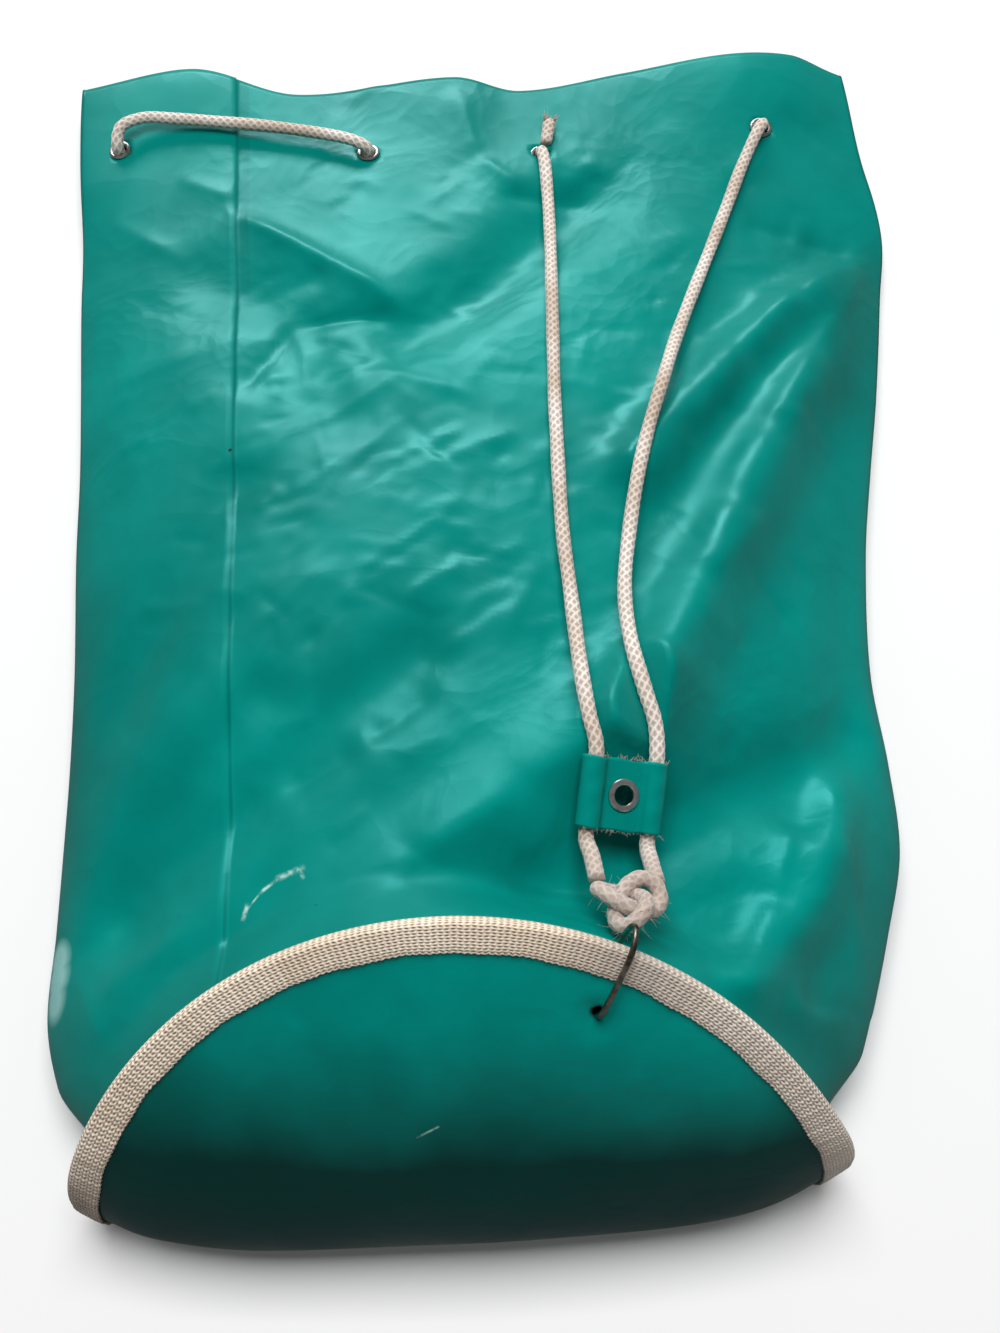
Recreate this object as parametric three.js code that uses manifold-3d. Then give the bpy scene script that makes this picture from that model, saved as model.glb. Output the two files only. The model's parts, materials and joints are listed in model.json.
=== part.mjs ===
import * as THREE from 'three';
import { mergeVertices } from 'three/addons/utils/BufferGeometryUtils.js';
import Module from 'manifold-3d';

// An empty drawstring duffel of green vinyl, lying on its back. Millimetres, +Z up.
// The mouth points to +Y and the round base, folded outward across its middle, to -Y.
// Every piece keeps a small gap to its neighbours.

const wasm = await Module();
wasm.setup();

// Driving dimensions
const baseDiameter = 270;
const bagReach = 532;
const bodyWidth = 382;
const crownHeight = 86;
const sideHeight = 26;
const wallVinyl = 1.4;
const baseVinyl = 1.4;
const webbing = 1;
const bindingWidth = 11;
const clearance = 0.3;
const seamDrop = 6;
const overlapWidth = 13;
const overlapStep = 1.2;
const mouthLift = 8;

// The base panel is bent across its diameter. Its upper half leans back and its lower half lies flat.
const foldRadius = 22;
const foldSpread = 30;
const baseLean = THREE.MathUtils.degToRad(37);
const foldSlant = 7;
const foldCorner = 14;

// Metal and cord
const eyeletHole = 6.6;
const eyeletFlange = 10.4;
const eyeletMetal = 0.8;
const eyeletSeat = 0.45;
const eyeletDrop = 43;
const cordDiameter = 5.6;
const ringWire = 2;
const ringHole = 3.6;
const ringAngle = THREE.MathUtils.degToRad(67.3);
const cordStandOff = 3.2;
const tabLength = 25;
const tabSpan = 22.9;
const tabVinyl = 1.2;
const tabLoopGap = 0.45;
const tabEyeletFlange = 11.6;
const tabEyeletHole = 6.8;
const knotSpan = 25;
const endLength = 13;

// Sizes that follow from them
const halfReach = bagReach / 2;
const halfWidth = bodyWidth / 2;
const edgeRadius = baseDiameter / 2 - webbing - clearance;
const wallRadius = baseDiameter / 2 - bindingWidth;
const flangeTop = -clearance;
const flangeUnder = flangeTop - wallVinyl;
const bindingFace = baseVinyl + clearance + webbing;
const bindingBack = flangeUnder - clearance - webbing;
const foldFront = -halfReach + 0.4 * foldSlant + bindingFace;
const fullTurn = 2 * Math.PI;

// How the lying tube rounds its sides, curls off the floor at its back and fills its front
const sideRoundness = 0.4;
const backCurl = 0.28;
const frontFullness = 0.75;
const frontBlend = 0.07;
const backBlend = 0.1;
const liftFrom = 0.52;
const liftSpan = 0.22;
const curlFrom = 0.7;

// How finely the wall and the base panel are divided: degrees a facet, and rows and columns
const frontStep = 11;
const sideStep = 5.6;
const sideTurn = 0.45;
const panelRows = 16;
const panelColumns = 8;
const panelShare = 0.86;
const panelCrowding = 0.22;
const wallPlaces = [
  0.02, 0.045, 0.075, 0.11, 0.15, 0.2, 0.26, 0.33, 0.4, 0.47, 0.54, 0.61, 0.68, 0.75, 0.82, 0.89, 0.95,
];

// Outline of the lying body: place along the bag and half widths, as shares of the reach and the width,
// then the heights of the front panel and of the side creases, as shares of theirs.
const outline = [
  { along: -0.97, left: 0.665, right: 0.655, crown: 1.0, side: 0.95 },
  { along: -0.84, left: 0.752, right: 0.718, crown: 1.0, side: 0.95 },
  { along: -0.73, left: 0.803, right: 0.775, crown: 0.98, side: 0.92 },
  { along: -0.6, left: 0.808, right: 0.83, crown: 0.93, side: 0.9 },
  { along: -0.48, left: 0.815, right: 0.872, crown: 0.89, side: 0.85 },
  { along: -0.35, left: 0.824, right: 0.87, crown: 0.86, side: 0.8 },
  { along: -0.2, left: 0.84, right: 0.854, crown: 0.78, side: 0.75 },
  { along: 0.0, left: 0.87, right: 0.873, crown: 0.68, side: 0.68 },
  { along: 0.15, left: 0.887, right: 0.905, crown: 0.6, side: 0.62 },
  { along: 0.3, left: 0.91, right: 0.941, crown: 0.53, side: 0.56 },
  { along: 0.5, left: 0.942, right: 0.98, crown: 0.44, side: 0.48 },
  { along: 0.63, left: 0.956, right: 1.0, crown: 0.38, side: 0.45 },
  { along: 0.8, left: 0.984, right: 0.965, crown: 0.31, side: 0.48 },
  { along: 0.94, left: 1.0, right: 0.948, crown: 0.28, side: 0.5 },
  { along: 1.0, left: 0.998, right: 0.94, crown: 0.26, side: 0.48 },
];

// The mouth edge: place across, reach as a share, and how far it curls up, as a share of the crown height.
const mouthEdge = [
  { across: -1.0, reach: 0.95, curl: 0.0 },
  { across: -0.72, reach: 0.975, curl: 0.07 },
  { across: -0.45, reach: 0.925, curl: -0.02 },
  { across: -0.05, reach: 0.955, curl: 0.02 },
  { across: 0.12, reach: 0.935, curl: -0.03 },
  { across: 0.4, reach: 0.965, curl: 0.03 },
  { across: 0.85, reach: 1.0, curl: 0.21 },
  { across: 1.0, reach: 0.985, curl: 0.04 },
];

// Main ridges and valleys of the front panel: both ends as shares of the half width and the half reach,
// rise as a share of the crown height (below zero for a valley) and spread as a share of the width.
const folds = [
  { fromX: 0.97, fromY: 0.56, toX: 0.5, toY: 0.23, rise: 0.14, spread: 0.04 },
  { fromX: 0.5, fromY: 0.23, toX: 0.34, toY: 0.04, rise: 0.11, spread: 0.04 },
  { fromX: 0.93, fromY: 0.5, toX: 0.64, toY: 0.18, rise: 0.09, spread: 0.04 },
  { fromX: 0.64, fromY: 0.18, toX: 0.46, toY: -0.1, rise: 0.13, spread: 0.045 },
  { fromX: 0.46, fromY: -0.1, toX: 0.24, toY: -0.37, rise: 0.08, spread: 0.045 },
  { fromX: 0.78, fromY: -0.36, toX: 0.16, toY: -0.61, rise: -0.12, spread: 0.055 },
  { fromX: -0.24, fromY: -0.63, toX: 0.34, toY: -0.3, rise: 0.07, spread: 0.05 },
  { fromX: 0.22, fromY: 0.7, toX: -0.16, toY: 0.31, rise: -0.09, spread: 0.05 },
  { fromX: -0.46, fromY: 0.6, toX: -0.14, toY: 0.44, rise: 0.09, spread: 0.035 },
  { fromX: -0.05, fromY: -0.28, toX: -0.35, toY: -0.44, rise: -0.1, spread: 0.045 },
  { fromX: -0.35, fromY: -0.44, toX: -0.55, toY: -0.7, rise: -0.1, spread: 0.045 },
  { fromX: 0.44, fromY: -0.71, toX: 0.72, toY: -0.74, rise: 0.12, spread: 0.04 },
];

// Eyelets round the mouth, as angles round the bag from its right side. The first four are on the front.
const eyeletAngles = [166, 109.5, 77.5, 30.5, 345.5, 300.5, 255.5, 210.5];
const overlapAngle = 142.7;

// The wire ring seen from its side, from its hole in the base panel round the seam: how far from the
// panel's middle and how far outward, as shares of the base's radius and of the binding's width.
const ringBend = [
  { out: 0.827, rise: 0.06 },
  { out: 0.83, rise: 0.3 },
  { out: 0.845, rise: 0.5 },
  { out: 0.89, rise: 0.58 },
  { out: 0.95, rise: 0.58 },
  { out: 1.005, rise: 0.5 },
  { out: 1.035, rise: 0.2 },
  { out: 1.045, rise: -0.25 },
  { out: 1.03, rise: -0.7 },
  { out: 0.99, rise: -1.0 },
  { out: 0.935, rise: -1.1 },
  { out: 0.88, rise: -1.05 },
  { out: 0.84, rise: -0.75 },
  { out: 0.827, rise: -0.3 },
];

// The drawcord's middle line, from the knot up the left strand, round all eyelets and down the right
// strand to the knot again. A row is a point, as shares of the half width, the half reach and the crown
// height, or an end of an eyelet (off 1 outside, -1 inside), or a place in the tab's left or right sleeve.
const cordRoute = [
  { x: 0.2346, y: -0.5782, z: 1.05 },
  { x: 0.2283, y: -0.5414, z: 0.9721 },
  { sleeve: -1, along: 1 },
  { sleeve: -1, along: 0 },
  { sleeve: -1, along: -1 },
  { x: 0.2304, y: -0.3571, z: 1.006 },
  { x: 0.2199, y: -0.3008, z: 0.9674 },
  { x: 0.212, y: -0.2256, z: 0.8779 },
  { x: 0.2042, y: -0.1429, z: 0.8023 },
  { x: 0.1937, y: -0.0526, z: 0.75 },
  { x: 0.1885, y: 0.0376, z: 0.7093 },
  { x: 0.1859, y: 0.1278, z: 0.6581 },
  { x: 0.1832, y: 0.218, z: 0.614 },
  { x: 0.1832, y: 0.3083, z: 0.5674 },
  { x: 0.1832, y: 0.3985, z: 0.5233 },
  { x: 0.1832, y: 0.4887, z: 0.4709 },
  { x: 0.1832, y: 0.5789, z: 0.4012 },
  { x: 0.1806, y: 0.6692, z: 0.3465 },
  { x: 0.1738, y: 0.7481, z: 0.3465 },
  { eyelet: 3, off: 1 },
  { eyelet: 3, off: -1 },
  { x: 0.1257, y: 0.765, z: 0.2035 },
  { x: -0.0471, y: 0.7481, z: 0.2093 },
  { x: -0.2199, y: 0.7632, z: 0.2267 },
  { eyelet: 2, off: -1 },
  { eyelet: 2, off: 1 },
  { x: -0.2906, y: 0.7838, z: 0.3814 },
  { x: -0.377, y: 0.8064, z: 0.3605 },
  { x: -0.4974, y: 0.8252, z: 0.3465 },
  { x: -0.6178, y: 0.8365, z: 0.3407 },
  { x: -0.733, y: 0.8459, z: 0.3349 },
  { x: -0.822, y: 0.8477, z: 0.3349 },
  { x: -0.8717, y: 0.8271, z: 0.3326 },
  { eyelet: 1, off: 1 },
  { eyelet: 1, off: -1 },
  { x: -0.8429, y: 0.8038, z: 0.1733 },
  { x: -0.7618, y: 0.8109, z: 0.1744 },
  { eyelet: 8, off: -1 },
  { eyelet: 8, off: 1 },
  { x: -0.6974, y: 0.8113, z: 0.0349 },
  { x: -0.4607, y: 0.797, z: 0.0349 },
  { x: -0.2251, y: 0.7835, z: 0.0349 },
  { eyelet: 7, off: 1 },
  { eyelet: 7, off: -1 },
  { x: -0.1649, y: 0.7932, z: 0.1698 },
  { x: 0, y: 0.8158, z: 0.157 },
  { x: 0.1885, y: 0.8177, z: 0.157 },
  { x: 0.3613, y: 0.8083, z: 0.1698 },
  { eyelet: 6, off: -1 },
  { eyelet: 6, off: 1 },
  { x: 0.4241, y: 0.8056, z: 0.0349 },
  { x: 0.623, y: 0.8195, z: 0.0349 },
  { x: 0.822, y: 0.8353, z: 0.036 },
  { eyelet: 5, off: 1 },
  { eyelet: 5, off: -1 },
  { x: 0.822, y: 0.8357, z: 0.1837 },
  { x: 0.7408, y: 0.8353, z: 0.2198 },
  { eyelet: 4, off: -1 },
  { eyelet: 4, off: 1 },
  { x: 0.699, y: 0.8102, z: 0.3756 },
  { x: 0.6597, y: 0.7481, z: 0.3488 },
  { x: 0.6126, y: 0.6541, z: 0.3663 },
  { x: 0.5602, y: 0.5489, z: 0.407 },
  { x: 0.5079, y: 0.4436, z: 0.4767 },
  { x: 0.4581, y: 0.3383, z: 0.5523 },
  { x: 0.4162, y: 0.2331, z: 0.6837 },
  { x: 0.377, y: 0.1353, z: 0.7116 },
  { x: 0.3482, y: 0.0451, z: 0.7395 },
  { x: 0.3272, y: -0.0451, z: 0.7535 },
  { x: 0.3115, y: -0.1429, z: 0.8116 },
  { x: 0.3157, y: -0.2331, z: 0.9012 },
  { x: 0.3377, y: -0.3158, z: 0.95 },
  { x: 0.3529, y: -0.3609, z: 0.9512 },
  { sleeve: 1, along: -1 },
  { sleeve: 1, along: 0 },
  { sleeve: 1, along: 1 },
  { x: 0.3361, y: -0.5451, z: 0.9174 },
  { x: 0.3398, y: -0.5797, z: 1.0314 },
];

// The tab's middle and the way its sleeves run, the knot's middle, and the frayed end's foot and tip.
const tabMiddle = sharedPoint({ x: 0.288, y: -0.4568, z: 0.9221 });
const tabRun = new THREE.Vector3(-0.12, -0.95, -0.29).normalize();
const tabRight = new THREE.Vector3(0.951, -0.026, -0.307).normalize();
const knotMiddle = sharedPoint({ x: 0.288, y: -0.609, z: 1.1105 });
const knotLean = THREE.MathUtils.degToRad(38);
const endFoot = sharedPoint({ x: 0.178, y: 0.7932, z: 0.3244 });
const endTip = sharedPoint({ x: 0.1885, y: 0.8402, z: 0.336 });

// A point from its shares of the half width, the half reach and the crown height.
function sharedPoint({ x, y, z }) {
  return new THREE.Vector3(x * halfWidth, y * halfReach, z * crownHeight);
}

// Reads a table at a place between its rows, along a smooth curve through them.
function readTable(rows, key, at, column) {
  let next = 1;
  while (next < rows.length - 1 && rows[next][key] < at) {
    next += 1;
  }
  const before = rows[next - 1];
  const after = rows[next];
  const span = after[key] - before[key];
  const share = THREE.MathUtils.clamp((at - before[key]) / span, 0, 1);
  const slopeAt = (index) => {
    const low = rows[Math.max(index - 1, 0)];
    const high = rows[Math.min(index + 1, rows.length - 1)];
    return ((high[column] - low[column]) / (high[key] - low[key])) * span;
  };
  const square = share * share;
  const cube = square * share;
  return (
    (2 * cube - 3 * square + 1) * before[column] +
    (cube - 2 * square + share) * slopeAt(next - 1) +
    (3 * square - 2 * cube) * after[column] +
    (cube - square) * slopeAt(next)
  );
}

// A closed solid from corner points and triangles, turned so that its faces point out.
function solidFrom(points, triangles) {
  let volume = 0;
  for (const [a, b, c] of triangles) {
    volume += points[a].dot(new THREE.Vector3().crossVectors(points[b], points[c]));
  }
  const ordered = volume < 0 ? triangles.map(([a, b, c]) => [a, c, b]) : triangles;
  const geometry = new THREE.BufferGeometry().setFromPoints(points);
  geometry.setIndex(ordered.flat());
  return geometry;
}

// Splits a four-cornered facet along its shorter diagonal, so that layers side by side bend alike.
function splitFacet(points, [a, b, c, d]) {
  const oneWay = points[a].distanceTo(points[c]);
  const otherWay = points[b].distanceTo(points[d]);
  return oneWay < otherWay ? [[a, b, c], [a, c, d]] : [[a, b, d], [b, c, d]];
}

// A solid ring through closed sections that all have the same number of corners.
function ringThrough(sections) {
  const points = sections.flat();
  const corners = sections[0].length;
  const triangles = [];
  sections.forEach((section, index) => {
    const here = index * corners;
    const there = ((index + 1) % sections.length) * corners;
    for (let corner = 0; corner < corners; corner += 1) {
      const next = (corner + 1) % corners;
      const facet = [here + corner, there + corner, there + next, here + next];
      triangles.push(...splitFacet(points, facet));
    }
  });
  return solidFrom(points, triangles);
}

// A closed round loop of wire or cord along points, with its sections kept level to a direction.
function loopTube(points, up, radius, sides) {
  const count = points.length;
  return ringThrough(
    points.map((point, index) => {
      const tangent = points[(index + 1) % count].clone().sub(points[(index + count - 1) % count]);
      const aside = new THREE.Vector3().crossVectors(tangent, up).normalize();
      const raised = new THREE.Vector3().crossVectors(aside, tangent).normalize();
      return Array.from({ length: sides }, (_, side) => {
        const angle = (side / sides) * fullTurn;
        return point
          .clone()
          .addScaledVector(aside, radius * Math.cos(angle))
          .addScaledVector(raised, radius * Math.sin(angle));
      });
    }),
  );
}

function toManifold(geometry) {
  const bare = geometry.index ? geometry.toNonIndexed() : geometry.clone();
  bare.deleteAttribute('normal');
  bare.deleteAttribute('uv');
  const merged = mergeVertices(bare, 1e-4);
  return new wasm.Manifold(
    new wasm.Mesh({
      numProp: 3,
      vertProperties: new Float32Array(merged.attributes.position.array),
      triVerts: new Uint32Array(merged.index.array),
    }),
  );
}

function cutAway(geometry, cutters) {
  let solid = toManifold(geometry);
  for (const cutter of cutters) {
    solid = solid.subtract(toManifold(cutter));
  }
  const mesh = solid.getMesh();
  const result = new THREE.BufferGeometry();
  result.setAttribute('position', new THREE.BufferAttribute(mesh.vertProperties, 3));
  result.setIndex(new THREE.BufferAttribute(mesh.triVerts, 1));
  return result;
}

// A round cutter or lathed piece stands on a seat, with its axis along the seat's normal.
function standOn(geometry, seat) {
  const turn = new THREE.Quaternion().setFromUnitVectors(new THREE.Vector3(0, 1, 0), seat.normal);
  return geometry.applyQuaternion(turn).translate(seat.point.x, seat.point.y, seat.point.z);
}

// The direction of the base panel, as an angle over the floor, at a distance from its fold line.
function baseHeading(fromFold) {
  if (fromFold >= 0) {
    return baseLean + (Math.PI / 2 - baseLean) * Math.exp(-fromFold / foldSpread);
  }
  return Math.min(Math.PI / 2 - fromFold / foldRadius, Math.PI);
}

// A point of the base panel's inner face, moved outward by a depth. Across runs along the fold line.
function basePoint(across, fromFold, depth) {
  const steps = 24;
  const step = fromFold / steps;
  let along = foldFront;
  let height = bindingFace + foldRadius;
  for (let index = 0; index < steps; index += 1) {
    const heading = baseHeading((index + 0.5) * step);
    along += Math.cos(heading) * step;
    height += Math.sin(heading) * step;
  }
  const side = across / (baseDiameter / 2);
  const nearFold = Math.exp(-((fromFold / foldRadius / 2.5) ** 2));
  const outward = baseHeading(fromFold) + Math.PI / 2;
  return new THREE.Vector3(
    across,
    along + (foldSlant * side + foldCorner * side ** 6) * nearFold + Math.cos(outward) * depth,
    Math.max(height, bindingFace) + Math.sin(outward) * depth,
  );
}

function rimPoint(angle, radius, depth) {
  return basePoint(radius * Math.cos(angle), radius * Math.sin(angle), depth);
}

// Angles round the bag at which every ring of the wall, the base's edge and the binding has a corner.
// Each eyelet lies in the middle of one facet, and the overlap's edge has a pair of its own.
function ringAngles() {
  const degreesPerMm = 360 / (fullTurn * wallRadius);
  const seat = 0.68 * eyeletFlange * degreesPerMm;
  const fixed = [0, 180, overlapAngle, overlapAngle + 0.25];
  fixed.push(overlapAngle + (overlapWidth + overlapStep) * degreesPerMm);
  for (const angle of eyeletAngles) {
    fixed.push(angle - seat, angle + seat);
  }
  fixed.sort((a, b) => a - b);
  const angles = [];
  fixed.forEach((angle, index) => {
    const next = index + 1 < fixed.length ? fixed[index + 1] : fixed[0] + 360;
    const middle = (angle + next) / 2;
    const nearSide = Math.abs(Math.sin(THREE.MathUtils.degToRad(middle))) < sideTurn;
    const parts = Math.max(1, Math.round((next - angle) / (nearSide ? sideStep : frontStep)));
    for (let part = 0; part < parts; part += 1) {
      angles.push(THREE.MathUtils.degToRad(angle + ((next - angle) * part) / parts));
    }
  });
  return angles;
}

// Place across the lying bag, from 1 at its right side to -1 at its left, for an angle round it.
function acrossShare(angle) {
  const turned = angle <= Math.PI ? angle : fullTurn - angle;
  return sideRoundness * Math.cos(turned) + (1 - sideRoundness) * (1 - (2 * turned) / Math.PI);
}

function smooth(value) {
  return THREE.MathUtils.smoothstep(value, 0, 1);
}

// How far the folds lift or sink the front panel at a place.
function foldRise(x, y) {
  let rise = 0;
  for (const fold of folds) {
    const startX = fold.fromX * halfWidth;
    const startY = fold.fromY * halfReach;
    const runX = fold.toX * halfWidth - startX;
    const runY = fold.toY * halfReach - startY;
    const length = Math.hypot(runX, runY);
    const forward = ((x - startX) * runX + (y - startY) * runY) / length;
    const sideways = ((x - startX) * runY - (y - startY) * runX) / length;
    const spread = fold.spread * bodyWidth;
    const past = Math.max(0, -forward, forward - length);
    rise += fold.rise * crownHeight * Math.exp(-(sideways * sideways + past * past) / (spread * spread));
  }
  return rise;
}

// The outer face of the lying wall at an angle round it and a place along it.
function lyingPoint(angle, y) {
  const along = y / halfReach;
  const share = acrossShare(angle);
  const half = halfWidth * readTable(outline, 'along', along, share < 0 ? 'left' : 'right');
  const x = half * share;
  const lift = mouthLift * smooth((along - liftFrom) / liftSpan);
  const side = sideHeight * readTable(outline, 'along', along, 'side');
  const crown = crownHeight * readTable(outline, 'along', along, 'crown');
  const turned = Math.sin(angle);
  if (turned < 0) {
    const rest = Math.max(0, 1 + turned / backCurl);
    return new THREE.Vector3(x, y, lift + (side - 0.4 * lift) * rest * rest);
  }
  const nearMouth = smooth((along - curlFrom) / (1 - curlFrom));
  const curl = nearMouth * crownHeight * readTable(mouthEdge, 'across', share, 'curl');
  const low = side + 0.6 * lift;
  const open = (crown + curl - low) * turned ** frontFullness;
  return new THREE.Vector3(x, y, low + open + foldRise(x, y) * smooth(turned * 2));
}

// One line of the wall's outer face, from the edge of its seam flange to the mouth.
function wallLine(angle) {
  const start = rimPoint(angle, wallRadius, flangeUnder - seamDrop);
  const mouth = halfReach * readTable(mouthEdge, 'across', acrossShare(angle), 'reach');
  const bandStart = mouth - eyeletDrop - 3 * eyeletFlange;
  const places = wallPlaces.map((share) => start.y + (bandStart - start.y) * share);
  places.push(bandStart, mouth - eyeletDrop - eyeletFlange, mouth - eyeletDrop + eyeletFlange);
  places.push(mouth - 0.38 * eyeletDrop, mouth);
  const reachToBlend = Math.sin(angle) > 0 ? frontBlend : backBlend;
  const line = [
    rimPoint(angle, edgeRadius, flangeUnder),
    rimPoint(angle, wallRadius, flangeUnder),
    start,
  ];
  for (const y of places) {
    const blend = smooth((y - start.y) / (mouth - start.y) / reachToBlend);
    const lying = lyingPoint(angle, y);
    line.push(new THREE.Vector3(start.x, y, start.z).lerp(lying, blend));
  }
  return line;
}

// Outward direction of the wall at a corner of its grid, from the corners around it.
function gridNormal(lines, index, row) {
  const count = lines.length;
  const last = lines[index].length - 1;
  const before = lines[(index + count - 1) % count][row];
  const after = lines[(index + 1) % count][row];
  const lower = lines[index][Math.max(row - 1, 2)];
  const upper = lines[index][Math.min(row + 1, last)];
  const round = new THREE.Vector3().subVectors(after, before);
  const forward = new THREE.Vector3().subVectors(upper, lower);
  return round.cross(forward).negate().normalize();
}

const angles = ringAngles();
const wallLines = angles.map(wallLine);
const freeRow = 3;

// The four corners of the facet that carries an eyelet.
function eyeletFacet(lines, angle) {
  const row = lines[0].length - 4;
  const turn = THREE.MathUtils.degToRad(angle);
  const before = angles.findLastIndex((value) => value < turn);
  const here = lines[before];
  const there = lines[(before + 1) % angles.length];
  return [here[row], there[row], there[row + 1], here[row + 1]];
}

// The middle of a facet and the direction that it faces, up for the front of the bag.
function facetSeat(corners, faceUp) {
  const point = new THREE.Vector3();
  corners.forEach((corner) => point.addScaledVector(corner, 1 / corners.length));
  const normal = new THREE.Vector3().subVectors(corners[2], corners[0]);
  normal.cross(new THREE.Vector3().subVectors(corners[3], corners[1])).normalize();
  if (normal.z > 0 !== faceUp) {
    normal.negate();
  }
  return { point, normal };
}

// Each eyelet presses its facet flat.
for (const angle of eyeletAngles) {
  const corners = eyeletFacet(wallLines, angle);
  const { point, normal } = facetSeat(corners, angle < 180);
  for (const corner of corners) {
    corner.addScaledVector(normal, point.clone().sub(corner).dot(normal));
  }
}

// The left panel laps over the right one, so the wall is raised there and steps down at the lap's edge.
const overlapStart = THREE.MathUtils.degToRad(overlapAngle + 0.2);
const overlapEnd = overlapStart + (0.7 * overlapWidth) / wallRadius;
const raisedLines = wallLines.map((line, index) =>
  line.map((point, row) => {
    const lapped = angles[index] > overlapStart && angles[index] < overlapEnd && row > freeRow;
    const normal = gridNormal(wallLines, index, row);
    return lapped ? point.clone().addScaledVector(normal, overlapStep) : point;
  }),
);

// The wall: seam flange, tube and open mouth, one thickness all over.
function bodyWall() {
  const sections = raisedLines.map((line, index) => {
    const angle = angles[index];
    const inner = wallLines[index].map((point, row) => {
      if (row === 0) {
        return rimPoint(angle, edgeRadius, flangeTop);
      }
      if (row < freeRow) {
        return rimPoint(angle, wallRadius - wallVinyl, row === 1 ? flangeTop : flangeUnder - seamDrop);
      }
      return point.clone().addScaledVector(gridNormal(wallLines, index, row), -wallVinyl);
    });
    return [...line, ...inner.reverse()];
  });
  return ringThrough(sections);
}

// Each eyelet's seat on the outer face of the wall.
function eyeletSeats() {
  return eyeletAngles.map((angle) => facetSeat(eyeletFacet(raisedLines, angle), angle < 180));
}

// A rolled eyelet: a barrel with a flange on each side of the layers that it clamps.
function eyelet(flange, hole, layers, segments) {
  const barrel = hole / 2 + eyeletMetal * 0.75;
  const top = eyeletSeat;
  const bottom = -layers - eyeletSeat;
  const profile = [
    [hole / 2, bottom - eyeletMetal],
    [flange / 2, bottom - eyeletMetal],
    [flange / 2, bottom],
    [barrel, bottom],
    [barrel, top],
    [flange / 2, top],
    [flange / 2, top + eyeletMetal],
    [hole / 2, top + eyeletMetal],
    [hole / 2, bottom - eyeletMetal],
  ].map(([radius, height]) => new THREE.Vector2(radius, height));
  return new THREE.LatheGeometry(profile, segments);
}

function punch(hole, depth) {
  return new THREE.CylinderGeometry(hole / 2, hole / 2, depth, 12);
}

// The two faces and the edge of the base panel. Its middle has rows along the fold line, and a strip
// joins them to the ring of corners that the flange and the binding share.
function basePanel() {
  const innerRadius = wallRadius - wallVinyl;
  const rowRadius = panelShare * innerRadius;
  const flat = [];
  const triangles = [];
  const start = angles.findIndex((angle) => angle > 1.5 * Math.PI);
  const ordered = angles.slice(start).map((angle) => angle - fullTurn).concat(angles.slice(0, start));
  const count = ordered.length;
  for (const radius of [edgeRadius, innerRadius]) {
    ordered.forEach((angle) => flat.push([radius * Math.cos(angle), radius * Math.sin(angle)]));
  }
  const laid = flat.map(([x, away]) => basePoint(x, away, 0));
  for (let index = 0; index < count; index += 1) {
    const next = (index + 1) % count;
    triangles.push(...splitFacet(laid, [index, next, count + next, count + index]));
  }
  const rows = [];
  for (let row = 0; row <= panelRows; row += 1) {
    const even = (row / panelRows - 0.5) * Math.PI;
    const angle = even - panelCrowding * Math.sin(2 * even);
    const columns = row === 0 || row === panelRows ? 0 : panelColumns;
    const corners = [];
    for (let column = 0; column <= columns; column += 1) {
      const share = columns ? (2 * column) / columns - 1 : 0;
      corners.push(flat.length);
      flat.push([share * rowRadius * Math.cos(angle), rowRadius * Math.sin(angle)]);
    }
    rows.push(corners);
  }
  for (let row = 0; row < panelRows; row += 1) {
    const low = rows[row];
    const high = rows[row + 1];
    for (let column = 0; column < panelColumns; column += 1) {
      if (low.length > 1) {
        triangles.push([low[column], low[column + 1], high[Math.min(column, high.length - 1)]]);
      }
      if (high.length > 1) {
        triangles.push([low[Math.min(column + 1, low.length - 1)], high[column + 1], high[column]]);
      }
    }
  }
  const rightEnds = rows.map((corners) => corners[corners.length - 1]);
  const leftEnds = rows.slice(1, -1).map((corners) => corners[0]).reverse();
  const innerLoop = [...rightEnds, ...leftEnds];
  const angleOf = (corner) => {
    const angle = Math.atan2(flat[corner][1], flat[corner][0]);
    return angle < -Math.PI / 2 - 1e-6 ? angle + fullTurn : angle;
  };
  let outer = 0;
  let inner = 0;
  while (outer < count || inner < innerLoop.length) {
    const outerNext = outer + 1 < count ? ordered[outer + 1] : ordered[0] + fullTurn;
    const innerNext = inner + 1 < innerLoop.length ? angleOf(innerLoop[inner + 1]) : 1.5 * Math.PI;
    const from = count + (outer % count);
    const across = innerLoop[inner % innerLoop.length];
    if (outer < count && (outerNext <= innerNext || inner >= innerLoop.length)) {
      triangles.push([from, count + ((outer + 1) % count), across]);
      outer += 1;
    } else {
      triangles.push([from, innerLoop[(inner + 1) % innerLoop.length], across]);
      inner += 1;
    }
  }
  const size = flat.length;
  const points = [baseVinyl, 0].flatMap((depth) => flat.map(([x, away]) => basePoint(x, away, depth)));
  const faces = [];
  for (const [a, b, c] of triangles) {
    faces.push([a, b, c], [size + a, size + c, size + b]);
  }
  for (let index = 0; index < count; index += 1) {
    const next = (index + 1) % count;
    faces.push([index, size + index, size + next], [index, size + next, next]);
  }
  return solidFrom(points, faces);
}

// Webbing folded over the edge of the base panel and the wall's flange.
function rimBinding() {
  const inside = wallRadius + clearance;
  const outside = baseDiameter / 2;
  const profile = [
    [inside, bindingFace],
    [outside, bindingFace],
    [outside, bindingBack],
    [inside, bindingBack],
    [inside, bindingBack + webbing],
    [outside - webbing, bindingBack + webbing],
    [outside - webbing, bindingFace - webbing],
    [inside, bindingFace - webbing],
  ];
  return ringThrough(
    angles.map((angle) => profile.map(([radius, depth]) => rimPoint(angle, radius, depth))),
  );
}

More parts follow.
